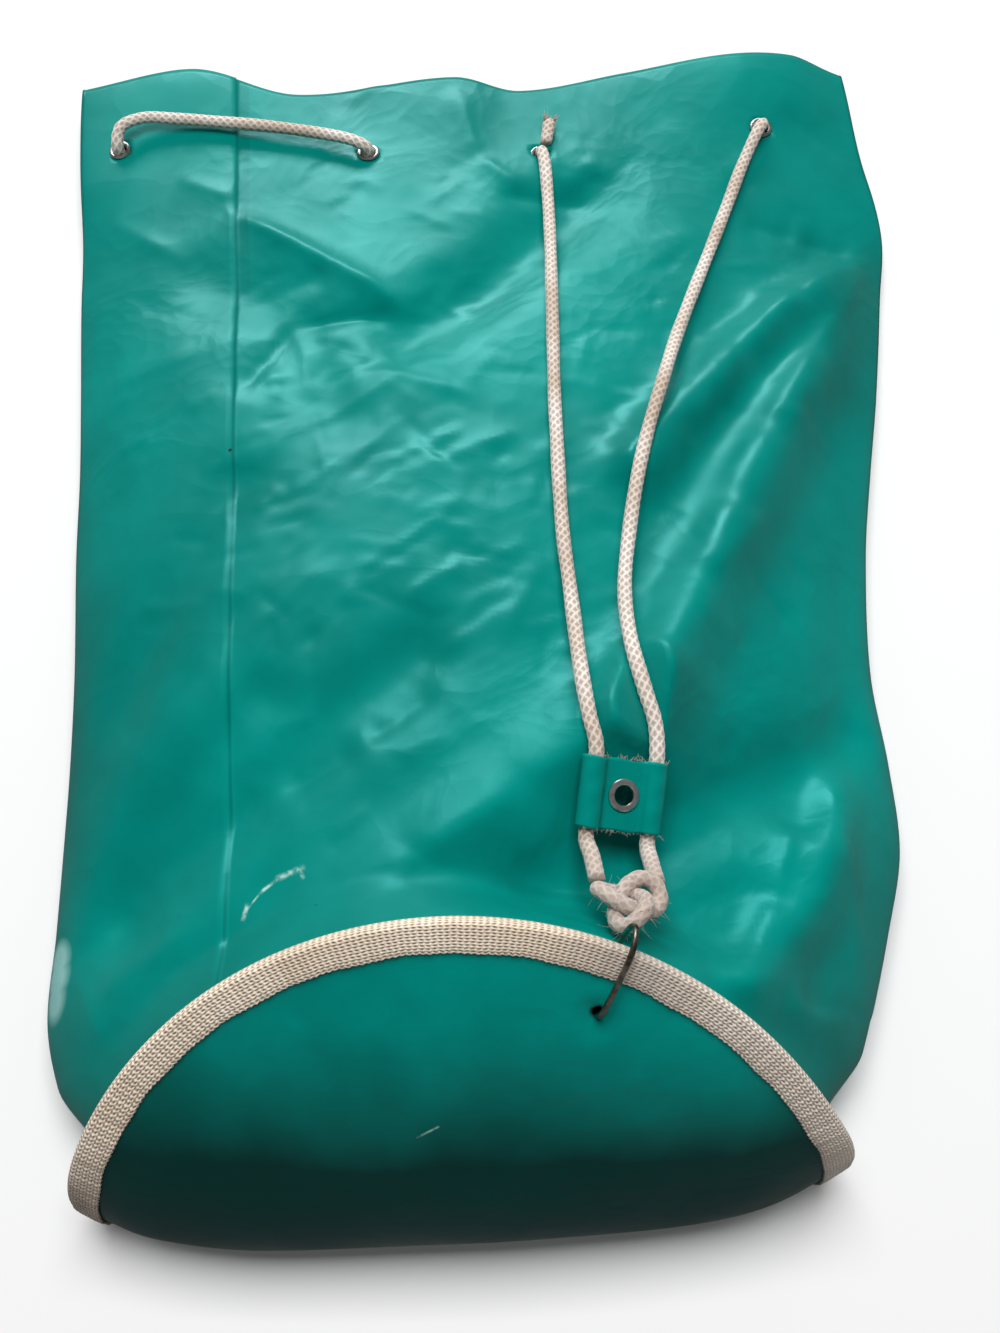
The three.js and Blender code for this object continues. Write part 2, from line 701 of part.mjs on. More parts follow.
// A curve whose sections sit at its own points, however far apart they are.
class PointedRoute extends THREE.CatmullRomCurve3 {
  getPointAt(share, target) {
    return this.getPoint(share, target);
  }

  getTangentAt(share, target) {
    return this.getTangent(share, target);
  }
}

// One row of the drawcord's route as a point.
function cordPoint(row) {
  if (row.eyelet) {
    const { point, normal } = seats[row.eyelet - 1];
    const off = row.off > 0 ? cordStandOff : -wallVinyl - cordStandOff;
    return point.clone().addScaledVector(normal, off);
  }
  if (row.sleeve) {
    const past = row.along * (tabLength / 2 + cordStandOff);
    const aside = (row.sleeve * tabSpan) / 2;
    return tabMiddle.clone().addScaledVector(tabRight, aside).addScaledVector(tabRun, past);
  }
  return sharedPoint(row);
}

// The drawcord as one round tube with a section at each point of its route.
function drawcord() {
  const sides = 8;
  const round = new THREE.Shape(
    Array.from({ length: sides }, (_, side) => {
      const angle = (side / sides) * fullTurn;
      return new THREE.Vector2(Math.cos(angle), Math.sin(angle)).multiplyScalar(cordDiameter / 2);
    }),
  );
  const route = new PointedRoute(cordRoute.map(cordPoint));
  const steps = cordRoute.length - 1;
  return new THREE.ExtrudeGeometry(round, { steps, bevelEnabled: false, extrudePath: route });
}

// An overhand knot: a three-lobed loop that leans up towards the base.
function cordKnot() {
  const stations = 30;
  const scale = (knotSpan - cordDiameter) / 5.2;
  const apart = 0.58 * cordDiameter;
  const along = new THREE.Vector3(0, Math.cos(knotLean), -Math.sin(knotLean));
  const outward = new THREE.Vector3(0, Math.sin(knotLean), Math.cos(knotLean));
  const points = Array.from({ length: stations }, (_, station) => {
    const turn = (station / stations) * fullTurn;
    return knotMiddle
      .clone()
      .add(new THREE.Vector3(scale * (Math.sin(turn) + 2 * Math.sin(2 * turn)), 0, 0))
      .addScaledVector(along, scale * (Math.cos(turn) - 2 * Math.cos(2 * turn)))
      .addScaledVector(outward, -apart * Math.sin(3 * turn));
  });
  return loopTube(points, outward, cordDiameter / 2, 8);
}

// The cord's frayed end: a short stub that widens and closes in a blunt tip.
function cordEnd() {
  const radius = cordDiameter / 2;
  const profile = [
    [0, 0],
    [0.7 * radius, 0],
    [radius, 0.2 * endLength],
    [radius, 0.6 * endLength],
    [1.15 * radius, 0.85 * endLength],
    [0.6 * radius, endLength],
    [0, endLength],
  ].map(([out, height]) => new THREE.Vector2(out, height));
  const normal = new THREE.Vector3().subVectors(endTip, endFoot).normalize();
  return standOn(new THREE.LatheGeometry(profile, 8), { point: endFoot, normal });
}

// Outline of the tab's end: a round sleeve at each side and a flat waist between them.
function sleeveOutline(radius, waist) {
  const half = tabSpan / 2;
  const open = Math.asin(waist / radius);
  const bends = 9;
  const right = Array.from({ length: bends }, (_, bend) => {
    const angle = -Math.PI + open + ((2 * Math.PI - 2 * open) * bend) / (bends - 1);
    return new THREE.Vector2(half + radius * Math.cos(angle), radius * Math.sin(angle));
  });
  return [...right, ...right.map((corner) => corner.clone().negate())];
}

// The tab: a strip of vinyl folded round both strands, with its layers held together by an eyelet.
function sliderTab() {
  const inside = cordDiameter / 2 + tabLoopGap;
  const layersGap = clearance / 2;
  const shape = new THREE.Shape(sleeveOutline(inside + tabVinyl, layersGap + tabVinyl));
  shape.holes.push(new THREE.Path(sleeveOutline(inside, layersGap)));
  const geometry = new THREE.ExtrudeGeometry(shape, { depth: tabLength, bevelEnabled: false });
  geometry.translate(0, 0, -tabLength / 2);
  const up = new THREE.Vector3().crossVectors(tabRun, tabRight).normalize();
  const right = new THREE.Vector3().crossVectors(up, tabRun).normalize();
  const turned = new THREE.Matrix4().makeBasis(right, up, tabRun).setPosition(tabMiddle);
  const seat = { point: tabMiddle.clone().addScaledVector(up, layersGap + tabVinyl), normal: up };
  const cut = standOn(punch(tabEyeletHole + 1.5 * eyeletMetal + 2 * clearance, 8 * tabVinyl), seat);
  return { tab: cutAway(geometry.applyMatrix4(turned), [cut]), seat, layers: 2 * (layersGap + tabVinyl) };
}

// Middle line of the wire ring, in the plane that stands across the seam.
function ringLine() {
  return ringBend.map(({ out, rise }) =>
    rimPoint(ringAngle, (out * baseDiameter) / 2, rise * bindingWidth),
  );
}

// A round cutter along the ring's middle line at one of its points, for a layer that it goes through.
function ringCut(line, index) {
  const before = line[(index + line.length - 1) % line.length];
  const normal = new THREE.Vector3().subVectors(line[index + 1], before).normalize();
  return standOn(punch(ringHole, 4 * ringWire), { point: line[index], normal });
}

function addPiece(group, name, geometry, color, roughness, metalness) {
  const material = new THREE.MeshStandardMaterial({ color, roughness, metalness });
  const mesh = new THREE.Mesh(geometry, material);
  mesh.name = name;
  group.add(mesh);
}

const vinylGreen = 0x00846f;
const cream = 0xe1c8af;
const steel = 0xb9bcbd;
const tarnished = 0x6d675c;
const cordWhite = 0xd9d0c8;

const bag = new THREE.Group();
const seats = eyeletSeats();
const wireLine = ringLine();
const panelCut = ringCut(wireLine, 0);
const wallCut = ringCut(wireLine, 10);
const eyeletCuts = seats.map((seat) =>
  standOn(punch(eyeletHole + 1.5 * eyeletMetal + 2 * clearance, 8 * wallVinyl), seat),
);
addPiece(bag, 'body_wall', cutAway(bodyWall(), [...eyeletCuts, wallCut]), vinylGreen, 0.35, 0);
addPiece(bag, 'base_panel', cutAway(basePanel(), [panelCut]), vinylGreen, 0.35, 0);
addPiece(bag, 'rim_binding', rimBinding(), cream, 0.9, 0);
seats.forEach((seat, index) => {
  const piece = standOn(eyelet(eyeletFlange, eyeletHole, wallVinyl, 10), seat);
  addPiece(bag, `eyelet_${index + 1}`, piece, steel, 0.35, 1);
});

const { tab, seat: tabSeat, layers } = sliderTab();
const ringAcross = new THREE.Vector3(-Math.sin(ringAngle), Math.cos(ringAngle), 0);
addPiece(bag, 'drawcord', drawcord(), cordWhite, 0.9, 0);
addPiece(bag, 'cord_knot', cordKnot(), cordWhite, 0.9, 0);
addPiece(bag, 'cord_end', cordEnd(), cordWhite, 0.9, 0);
addPiece(bag, 'slider_tab', tab, vinylGreen, 0.35, 0);
const tabRivet = standOn(eyelet(tabEyeletFlange, tabEyeletHole, layers, 12), tabSeat);
addPiece(bag, 'tab_eyelet', tabRivet, steel, 0.35, 1);
addPiece(bag, 'base_ring', loopTube(wireLine, ringAcross, ringWire / 2, 6), tarnished, 0.5, 1);

export default bag;
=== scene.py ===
import json
import math
import random
import bpy
import numpy as np
from mathutils import Matrix, Vector, kdtree

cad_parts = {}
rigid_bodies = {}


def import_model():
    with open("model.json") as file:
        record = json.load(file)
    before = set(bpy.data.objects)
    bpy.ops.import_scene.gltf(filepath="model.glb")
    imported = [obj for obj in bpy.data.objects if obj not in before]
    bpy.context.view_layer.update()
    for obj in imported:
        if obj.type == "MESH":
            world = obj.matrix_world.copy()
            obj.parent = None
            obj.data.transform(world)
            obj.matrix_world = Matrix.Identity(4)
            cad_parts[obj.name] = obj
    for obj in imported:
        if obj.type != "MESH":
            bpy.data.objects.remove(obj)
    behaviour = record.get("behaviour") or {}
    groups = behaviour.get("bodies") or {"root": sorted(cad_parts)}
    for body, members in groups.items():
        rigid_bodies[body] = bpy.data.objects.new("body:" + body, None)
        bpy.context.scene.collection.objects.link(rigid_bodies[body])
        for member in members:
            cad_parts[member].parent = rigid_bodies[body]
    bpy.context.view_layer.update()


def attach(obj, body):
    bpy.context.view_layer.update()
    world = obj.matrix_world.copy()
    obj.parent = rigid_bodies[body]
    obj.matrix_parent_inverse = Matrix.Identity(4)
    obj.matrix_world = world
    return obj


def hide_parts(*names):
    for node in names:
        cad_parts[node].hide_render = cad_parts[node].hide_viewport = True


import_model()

# Camera
# The bag lies on a pale floor and is seen steeply from above its base end.
view = bpy.data.cameras.new("camera")
view.lens = 37.8
view.sensor_width = 36.0
camera = bpy.data.objects.new("camera", view)
camera.location = (0.0125, -0.2587, 0.55)
camera.rotation_euler = (math.radians(21.5), 0.0, 0.0)
bpy.context.collection.objects.link(camera)
bpy.context.scene.camera = camera

# Drawcord
# One plaited cotton cord, 5.6 mm thick. It runs from the knot up through the tab's left sleeve, in and out
# of all eight eyelets round the mouth, and down through the right sleeve back to the knot.
cord_diameter = 0.0056
ring_step = 0.0008
plait_sides = 30
plait_pitch = 0.0037
knot_middle = np.array([0.055, -0.162, 0.0955])
cord_route = [
    (44.8, -153.8, 90.3), (43.6, -144.0, 83.6), (42.2, -136.1, 78.3), (44.1, -121.2, 82.8),
    (46.0, -106.3, 87.4), (44.0, -95.0, 86.5), (42.0, -80.0, 83.2), (40.5, -60.0, 75.5),
    (39.0, -38.0, 69.0), (37.0, -14.0, 64.5), (36.0, 10.0, 61.0), (35.5, 34.0, 56.6),
    (35.0, 58.0, 52.8), (35.0, 82.0, 48.8), (35.0, 106.0, 45.0), (35.0, 130.0, 40.5),
    (35.0, 154.0, 34.5), (34.5, 178.0, 29.8), (33.2, 199.0, 29.8), (31.9, 206.6, 27.9),
    (30.9, 206.8, 20.1), (24.0, 203.5, 17.5), (-9.0, 199.0, 18.0), (-42.0, 203.0, 19.5),
    (-49.1, 205.5, 22.4), (-49.4, 206.4, 30.2), (-55.5, 208.5, 32.8), (-72.0, 214.5, 31.0),
    (-95.0, 219.5, 29.8), (-118.0, 222.5, 29.3), (-140.0, 225.0, 28.8), (-157.0, 225.5, 28.8),
    (-166.5, 220.0, 28.6), (-168.4, 213.1, 24.0), (-167.4, 213.1, 16.3), (-161.0, 213.8, 14.9),
    (-145.5, 215.7, 15.0), (-139.4, 216.2, 12.6), (-139.4, 216.2, 4.8), (-133.2, 215.8, 3.0),
    (-88.0, 212.0, 3.0), (-43.0, 208.4, 3.0), (-36.8, 208.0, 4.8), (-36.8, 208.0, 12.6),
    (-31.5, 211.0, 14.6), (0.0, 217.0, 13.5), (36.0, 217.5, 13.5), (69.0, 215.0, 14.6),
    (74.9, 213.8, 12.6), (74.9, 213.8, 4.8), (81.0, 214.3, 3.0), (119.0, 218.0, 3.0),
    (157.0, 222.2, 3.1), (163.5, 222.5, 5.2), (162.8, 222.4, 13.0), (157.0, 222.3, 15.8),
    (141.5, 222.2, 18.9), (135.6, 222.1, 22.1), (136.2, 221.1, 29.8), (133.5, 215.5, 32.3),
    (126.0, 199.0, 30.0), (117.0, 174.0, 31.5), (107.0, 146.0, 35.0), (97.0, 118.0, 41.0),
    (87.5, 90.0, 47.5), (79.5, 62.0, 58.8), (72.0, 36.0, 61.2), (66.5, 12.0, 63.6),
    (62.5, -12.0, 64.8), (59.5, -38.0, 69.8), (60.3, -62.0, 77.5), (64.5, -84.0, 81.7),
    (67.4, -96.0, 81.8), (67.8, -106.9, 80.3), (65.9, -121.8, 75.8), (64.0, -136.7, 71.2),
    (64.2, -145.0, 78.9), (64.9, -154.2, 88.7),
]


def smooth_route(points, spacing, closed=False):
    """Points evenly spaced along a smooth curve through the given ones."""
    given = np.array(points, dtype=float)
    if closed:
        padded = np.vstack([given[-1], given, given[0], given[1]])
    else:
        padded = np.vstack([2 * given[0] - given[1], given, 2 * given[-1] - given[-2]])
    fine = []
    for index in range(1, len(padded) - 2):
        p0, p1, p2, p3 = padded[index - 1 : index + 3]
        t1 = np.linalg.norm(p1 - p0) ** 0.5
        t2 = t1 + np.linalg.norm(p2 - p1) ** 0.5
        t3 = t2 + np.linalg.norm(p3 - p2) ** 0.5
        for t in np.linspace(t1, t2, 16, endpoint=False):
            a1 = p0 * (t1 - t) / t1 + p1 * t / t1
            a2 = p1 * (t2 - t) / (t2 - t1) + p2 * (t - t1) / (t2 - t1)
            a3 = p2 * (t3 - t) / (t3 - t2) + p3 * (t - t2) / (t3 - t2)
            b1 = a1 * (t2 - t) / t2 + a2 * t / t2
            b2 = a2 * (t3 - t) / (t3 - t1) + a3 * (t - t1) / (t3 - t1)
            fine.append(b1 * (t2 - t) / (t2 - t1) + b2 * (t - t1) / (t2 - t1))
    fine.append(padded[-2])
    fine = np.array(fine)
    run = np.concatenate([[0.0], np.cumsum(np.linalg.norm(np.diff(fine, axis=0), axis=1))])
    count = max(4, int(round(run[-1] / spacing)))
    places = np.linspace(0.0, run[-1], count + 1)
    even = np.column_stack([np.interp(places, run, fine[:, axis]) for axis in range(3)])
    return even[:-1] if closed else even


def tube_frames(centres, closed=False):
    """Two directions across the tube at each centre, turned as little as possible along it."""
    if closed:
        tangents = np.roll(centres, -1, axis=0) - np.roll(centres, 1, axis=0)
    else:
        tangents = np.gradient(centres, axis=0)
    tangents /= np.linalg.norm(tangents, axis=1)[:, None]
    aside = np.cross(tangents[0], (0.0, 0.0, 1.0))
    if np.linalg.norm(aside) < 0.1:
        aside = np.cross(tangents[0], (0.0, 1.0, 0.0))
    sides = []
    for tangent in tangents:
        aside = aside - tangent * np.dot(aside, tangent)
        aside /= np.linalg.norm(aside)
        sides.append(aside)
    sides = np.array(sides)
    ups = np.cross(tangents, sides)
    if closed:
        last = np.cross(tangents[0], np.cross(sides[-1], tangents[0]))
        twist = math.atan2(np.dot(last, ups[0]), np.dot(last, sides[0]))
        turns = -twist * np.arange(len(centres)) / len(centres)
        cosine, sine = np.cos(turns)[:, None], np.sin(turns)[:, None]
        sides, ups = sides * cosine + ups * sine, ups * cosine - sides * sine
    return sides, ups


def grid_piece(name, points, uv, wrap_rows=False, wrap_columns=True, ends=False, marks=None):
    """A mesh from a grid of points. Rows or columns may close on themselves, and ends closes the tube."""
    rows, columns = points.shape[:2]
    corners = [tuple(corner) for corner in points.reshape(-1, 3)]
    row = np.arange(rows if wrap_rows else rows - 1)
    column = np.arange(columns if wrap_columns else columns - 1)
    row_grid, column_grid = np.meshgrid(row, column, indexing="ij")
    row_next, column_next = (row_grid + 1) % rows, (column_grid + 1) % columns
    faces = np.stack(
        [
            row_grid * columns + column_grid,
            row_next * columns + column_grid,
            row_next * columns + column_next,
            row_grid * columns + column_next,
        ],
        axis=-1,
    ).reshape(-1, 4)
    coordinates = np.stack(
        [
            uv[row_grid, column_grid],
            uv[row_grid + 1, column_grid],
            uv[row_grid + 1, column_grid + 1],
            uv[row_grid, column_grid + 1],
        ],
        axis=-2,
    ).reshape(-1, 2)
    faces = faces.tolist()
    coordinates = coordinates.tolist()
    if ends:
        for place, order in ((0, 1), (rows - 1, -1)):
            corners.append(tuple(points[place].mean(axis=0)))
            for index in range(columns):
                edge = [place * columns + index, place * columns + (index + 1) % columns]
                faces.append([len(corners) - 1] + edge[::order])
                coordinates.extend([tuple(uv[place, index])] * 3)
    mesh = bpy.data.meshes.new(name)
    mesh.from_pydata(corners, [], faces)
    layer = mesh.uv_layers.new(name="weave")
    layer.data.foreach_set("uv", np.array(coordinates, dtype=float).ravel())
    for label, values in (marks or {}).items():
        attribute = mesh.attributes.new(label, "FLOAT", "POINT")
        flat = np.zeros(len(corners))
        flat[: rows * columns] = np.asarray(values).ravel()
        attribute.data.foreach_set("value", flat)
    mesh.update()
    piece = bpy.data.objects.new(name, mesh)
    bpy.context.collection.objects.link(piece)
    face_outward(piece)
    return piece


def face_outward(piece):
    bpy.ops.object.select_all(action="DESELECT")
    bpy.context.view_layer.objects.active = piece
    piece.select_set(True)
    bpy.ops.object.mode_set(mode="EDIT")
    bpy.ops.mesh.select_all(action="SELECT")
    bpy.ops.mesh.normals_make_consistent(inside=False)
    bpy.ops.object.mode_set(mode="OBJECT")
    bpy.ops.object.shade_smooth()
    piece.select_set(False)


def plaited(name, centres, closed=False, width=None):
    """A round plaited tube round its centres, with crossing strands raised on its face."""
    sides, ups = tube_frames(centres, closed)
    count = len(centres)
    angle = np.arange(plait_sides) / plait_sides * 2 * math.pi
    place = np.arange(count) * ring_step
    strands = 5
    along = 2 * math.pi * place[:, None] / plait_pitch
    one_way = np.cos(strands * angle[None, :] + along)
    other_way = np.cos(strands * angle[None, :] - along)
    crown = np.maximum(one_way, other_way)
    lump = 1 + 0.025 * np.sin(place * 180) + 0.02 * np.sin(place * 71 + 1.0)
    radius = cord_diameter / 2 * (0.95 + 0.06 * crown) * lump[:, None]
    if width is not None:
        radius = radius * width[:, None]
    points = (
        centres[:, None, :]
        + sides[:, None, :] * (radius * np.cos(angle))[:, :, None]
        + ups[:, None, :] * (radius * np.sin(angle))[:, :, None]
    )
    across, run = np.meshgrid(np.arange(plait_sides + 1) / plait_sides, np.arange(count + 1), indexing="xy")
    uv = np.stack([across, run * ring_step / 0.02], axis=-1)
    return grid_piece(name, points, uv, closed, True, not closed, {"groove": crown})


def new_material(name):
    material = bpy.data.materials.new(name)
    material.use_nodes = True
    tree = material.node_tree
    return material, tree, tree.nodes["Principled BSDF"]


def node(tree, kind, values=None, **settings):
    """A shader node with its settings, and its inputs set to values or linked to sockets."""
    made = tree.nodes.new("ShaderNode" + kind)
    for key, setting in settings.items():
        setattr(made, key, setting)
    for key, value in (values or {}).items():
        if isinstance(value, bpy.types.NodeSocket):
            tree.links.new(value, made.inputs[key])
        else:
            made.inputs[key].default_value = value
    return made


def colour_ramp(tree, factor, stops):
    ramp = node(tree, "ValToRGB", {"Fac": factor})
    elements = ramp.color_ramp.elements
    while len(elements) < len(stops):
        elements.new(0.5)
    for element, (position, colour) in zip(elements, stops):
        element.position = position
        element.color = (*colour, 1.0)
    return ramp.outputs["Color"]


def blend_colours(tree, factor, first, second, kind="MIX"):
    made = node(tree, "Mix", {0: factor, 6: first, 7: second}, data_type="RGBA", blend_type=kind)
    return made.outputs[2]


def cotton_cord():
    material, tree, shader = new_material("cotton_cord")
    place = node(tree, "TexCoord").outputs["Object"]
    groove = node(tree, "Attribute", attribute_name="groove").outputs["Fac"]
    grime_and_painted_shade_mask = node(tree, "TexNoise", {"Vector": place, "Scale": 28.0, "Detail": 4.0}).outputs["Fac"]
    fine = node(tree, "TexNoise", {"Vector": place, "Scale": 900.0, "Detail": 2.0}).outputs["Fac"]
    shade = colour_ramp(tree, groove, [(0.0, (0.4, 0.35, 0.31)), (0.8, (0.74, 0.67, 0.62))])
    dirt_and_painted_shade = colour_ramp(tree, grime_and_painted_shade_mask, [(0.35, (0.72, 0.64, 0.56)), (0.62, (1.0, 1.0, 1.0))])
    shader_colour = blend_colours(tree, 1.0, shade, dirt_and_painted_shade, "MULTIPLY")
    away = node(tree, "VectorMath", {0: place, 1: tuple(knot_middle)}, operation="DISTANCE").outputs["Value"]
    handled = node(tree, "MapRange", {0: away, 1: 0.04, 2: 0.012, 3: 0.0, 4: 0.55}).outputs[0]
    shader_colour = blend_colours(tree, handled, shader_colour, (0.4, 0.33, 0.3, 1.0))
    tree.links.new(shader_colour, shader.inputs["Base Color"])
    bump = node(tree, "Bump", {"Height": fine, "Strength": 0.5, "Distance": 0.0004})
    tree.links.new(bump.outputs["Normal"], shader.inputs["Normal"])
    shader.inputs["Roughness"].default_value = 0.85
    shader.inputs["Sheen Weight"].default_value = 0.25
    return material


cotton = cotton_cord()
cord_centres = smooth_route(np.array(cord_route) / 1000, ring_step)
drawcord = plaited("drawcord_plaited", cord_centres)
drawcord.data.materials.append(cotton)
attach(drawcord, "root")
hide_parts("drawcord")

# Cord knot
# The overhand knot that joins both strands at their lower end, pulled tight and fuzzy from use.
knot_size = 0.00373
knot_lean = math.radians(38.0)
knot_along = np.array([0.0, math.cos(knot_lean), -math.sin(knot_lean)])
knot_out = np.array([0.0, math.sin(knot_lean), math.cos(knot_lean)])


def knot_route():
    turn = np.arange(48) / 48 * 2 * math.pi
    return (
        knot_middle
        + np.array([1.0, 0.0, 0.0]) * (knot_size * (np.sin(turn) + 2 * np.sin(2 * turn)))[:, None]
        + knot_along * (knot_size * (np.cos(turn) - 2 * np.cos(2 * turn)))[:, None]
        - knot_out * (0.58 * cord_diameter * np.sin(3 * turn))[:, None]
    )


def fibres(name, roots, aims, lengths, thickness, spread, seed):
    """Loose cotton fibres: thin bent threads that start at the roots and lean along the aims."""
    draw = random.Random(seed)
    corners, faces = [], []
    for root, aim, length in zip(roots, aims, lengths):
        aim = Vector(aim).normalized()
        sway = Vector([draw.uniform(-1, 1) for _ in range(3)]) * spread
        previous = None
        for step in range(5):
            share = step / 4
            centre = Vector(root) + aim * length * share + sway * length * share * share
            side = aim.orthogonal().normalized()
            other = aim.cross(side)
            ring = []
            for corner in range(3):
                turn = corner / 3 * 2 * math.pi
                size = thickness * (1 - 0.6 * share)
                corners.append(centre + (side * math.cos(turn) + other * math.sin(turn)) * size)
                ring.append(len(corners) - 1)
            if previous:
                for corner in range(3):
                    after = (corner + 1) % 3
                    faces.append([previous[corner], previous[after], ring[after], ring[corner]])
            else:
                faces.append(ring[::-1])
            previous = ring
        faces.append(previous)
    mesh = bpy.data.meshes.new(name)
    mesh.from_pydata([tuple(corner) for corner in corners], [], faces)
    mesh.update()
    piece = bpy.data.objects.new(name, mesh)
    bpy.context.collection.objects.link(piece)
    face_outward(piece)
    return piece


def cord_piece(piece, *replaced):
    piece.data.materials.append(cotton)
    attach(piece, "root")
    if replaced:
        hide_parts(*replaced)
    return piece


knot_centres = smooth_route(knot_route(), ring_step, closed=True)
cord_knot = cord_piece(plaited("cord_knot_plaited", knot_centres, closed=True), "cord_knot")
draw = random.Random(5)
fuzz_roots, fuzz_aims = [], []
for _ in range(150):
    centre = Vector(knot_centres[draw.randrange(len(knot_centres))])
    aim = Vector([draw.uniform(-1, 1), draw.uniform(-1.4, 0.6), draw.uniform(-0.3, 1.2)]).normalized()
    fuzz_roots.append(centre + aim * cord_diameter * 0.45)
    fuzz_aims.append(aim)
fuzz_lengths = [draw.uniform(0.0012, 0.0035) for _ in fuzz_roots]
knot_fuzz = cord_piece(fibres("knot_fuzz", fuzz_roots, fuzz_aims, fuzz_lengths, 0.00012, 0.7, 6))

# Frayed cord end
# The short spare end beside the third eyelet. Its plait has opened into a small brush.
end_foot = np.array([0.034, 0.211, 0.0279])
end_tip = np.array([0.036, 0.2235, 0.0289])
end_centres = smooth_route([end_foot, (end_foot + end_tip) / 2, end_tip], 0.0007)
end_share = np.linspace(0.0, 1.0, len(end_centres))
end_width = np.interp(end_share, [0.0, 0.1, 0.6, 0.85, 1.0], [0.72, 0.98, 1.0, 1.12, 0.8])
cord_end = cord_piece(plaited("cord_end_plaited", end_centres, width=end_width), "cord_end")
brush_roots, brush_aims = [], []
end_aim = Vector(end_tip - end_foot).normalized()
for _ in range(90):
    offset = Vector([draw.uniform(-1, 1), 0.0, draw.uniform(-1, 1)]) * cord_diameter * 0.42
    brush_roots.append(Vector(end_tip) - end_aim * 0.0012 + offset)
    brush_aims.append(end_aim + offset * 170)
brush_lengths = [draw.uniform(0.0015, 0.0042) for _ in brush_roots]
end_brush = cord_piece(fibres("cord_end_brush", brush_roots, brush_aims, brush_lengths, 0.00022, 0.35, 8))

# Body wall
# One sheet of green vinyl rolled to a tube, with an overlap seam down its front left. It lies nearly
# empty: flat on its back, creased over its front and open at the mouth, and turned out at the base seam.
half_width = 191.0
half_reach = 266.0
crown_height = 86.0
side_height = 26.0
vinyl = 1.4
wall_radius = 124.0
edge_radius = 133.7
flange_top = -0.3
flange_under = -1.7
seam_drop = 6.0
mouth_lift = 8.0
fold_front = -260.5
binding_face = 2.7
fold_radius = 22.0
fold_spread = 30.0
base_lean = math.radians(37.0)
overlap_line = ((-0.1155, 0.262), (-0.0825, -0.16))
overlap_step = 0.7
lap_angle = math.radians(132)
lap_edge = 0.003
lap_fade = 0.35

# Columns: place along, left and right half width, crown and side height.
outline = np.array([
    (-0.97, 0.665, 0.655, 1.0, 0.95),
    (-0.84, 0.752, 0.718, 1.0, 0.95),
    (-0.73, 0.803, 0.775, 0.98, 0.92),
    (-0.6, 0.808, 0.83, 0.93, 0.9),
    (-0.48, 0.815, 0.872, 0.89, 0.85),
    (-0.35, 0.824, 0.87, 0.86, 0.8),
    (-0.2, 0.84, 0.854, 0.78, 0.75),
    (0.0, 0.87, 0.873, 0.68, 0.68),
    (0.15, 0.887, 0.905, 0.6, 0.62),
    (0.3, 0.91, 0.941, 0.53, 0.56),
    (0.5, 0.942, 0.98, 0.44, 0.48),
    (0.63, 0.956, 1.0, 0.38, 0.45),
    (0.8, 0.984, 0.965, 0.31, 0.48),
    (0.94, 1.0, 0.948, 0.28, 0.5),
    (1.0, 0.998, 0.94, 0.26, 0.48),
])

# Columns: place across, reach of the mouth edge and its curl.
mouth_edge = np.array([
    (-1.0, 0.95, 0.0),
    (-0.72, 0.975, 0.07),
    (-0.45, 0.925, -0.02),
    (-0.05, 0.955, 0.02),
    (0.12, 0.935, -0.03),
    (0.4, 0.965, 0.03),
    (0.85, 1.0, 0.21),
    (1.0, 0.985, 0.04),
])

# Long soft folds. Each is a run of points with its rise and spread, all as shares.
main_folds = [
    ([(1.02, 0.57), (0.72, 0.42), (0.5, 0.24), (0.36, 0.1)], 0.13, 0.032),
    ([(0.98, 0.5), (0.72, 0.22), (0.52, -0.06), (0.33, -0.34)], 0.17, 0.042),
    ([(0.86, -0.32), (0.5, -0.44), (0.16, -0.58)], -0.13, 0.05),
    ([(-0.3, -0.66), (0.02, -0.49), (0.36, -0.28)], 0.09, 0.045),
    ([(0.26, 0.66), (0.05, 0.48), (-0.14, 0.36)], -0.1, 0.045),
    ([(-0.1, -0.24), (-0.38, -0.42), (-0.62, -0.6)], -0.09, 0.04),
    ([(-0.5, 0.08), (-0.62, -0.12), (-0.72, -0.3)], -0.05, 0.035),
    ([(-0.62, 0.5), (-0.42, 0.4), (-0.3, 0.2)], -0.05, 0.04),
    ([(-0.9, 0.45), (-0.92, 0.05), (-0.92, -0.3)], 0.045, 0.018),
    ([(0.4, -0.7), (0.66, -0.73), (0.88, -0.7)], 0.11, 0.03),
    ([(0.74, -0.42), (0.66, -0.58), (0.5, -0.7)], 0.12, 0.03),
    ([(0.98, 0.24), (0.86, -0.05), (0.8, -0.3)], -0.1, 0.035),
    ([(-0.4, -0.3), (-0.6, -0.48), (-0.72, -0.66)], -0.07, 0.035),
]

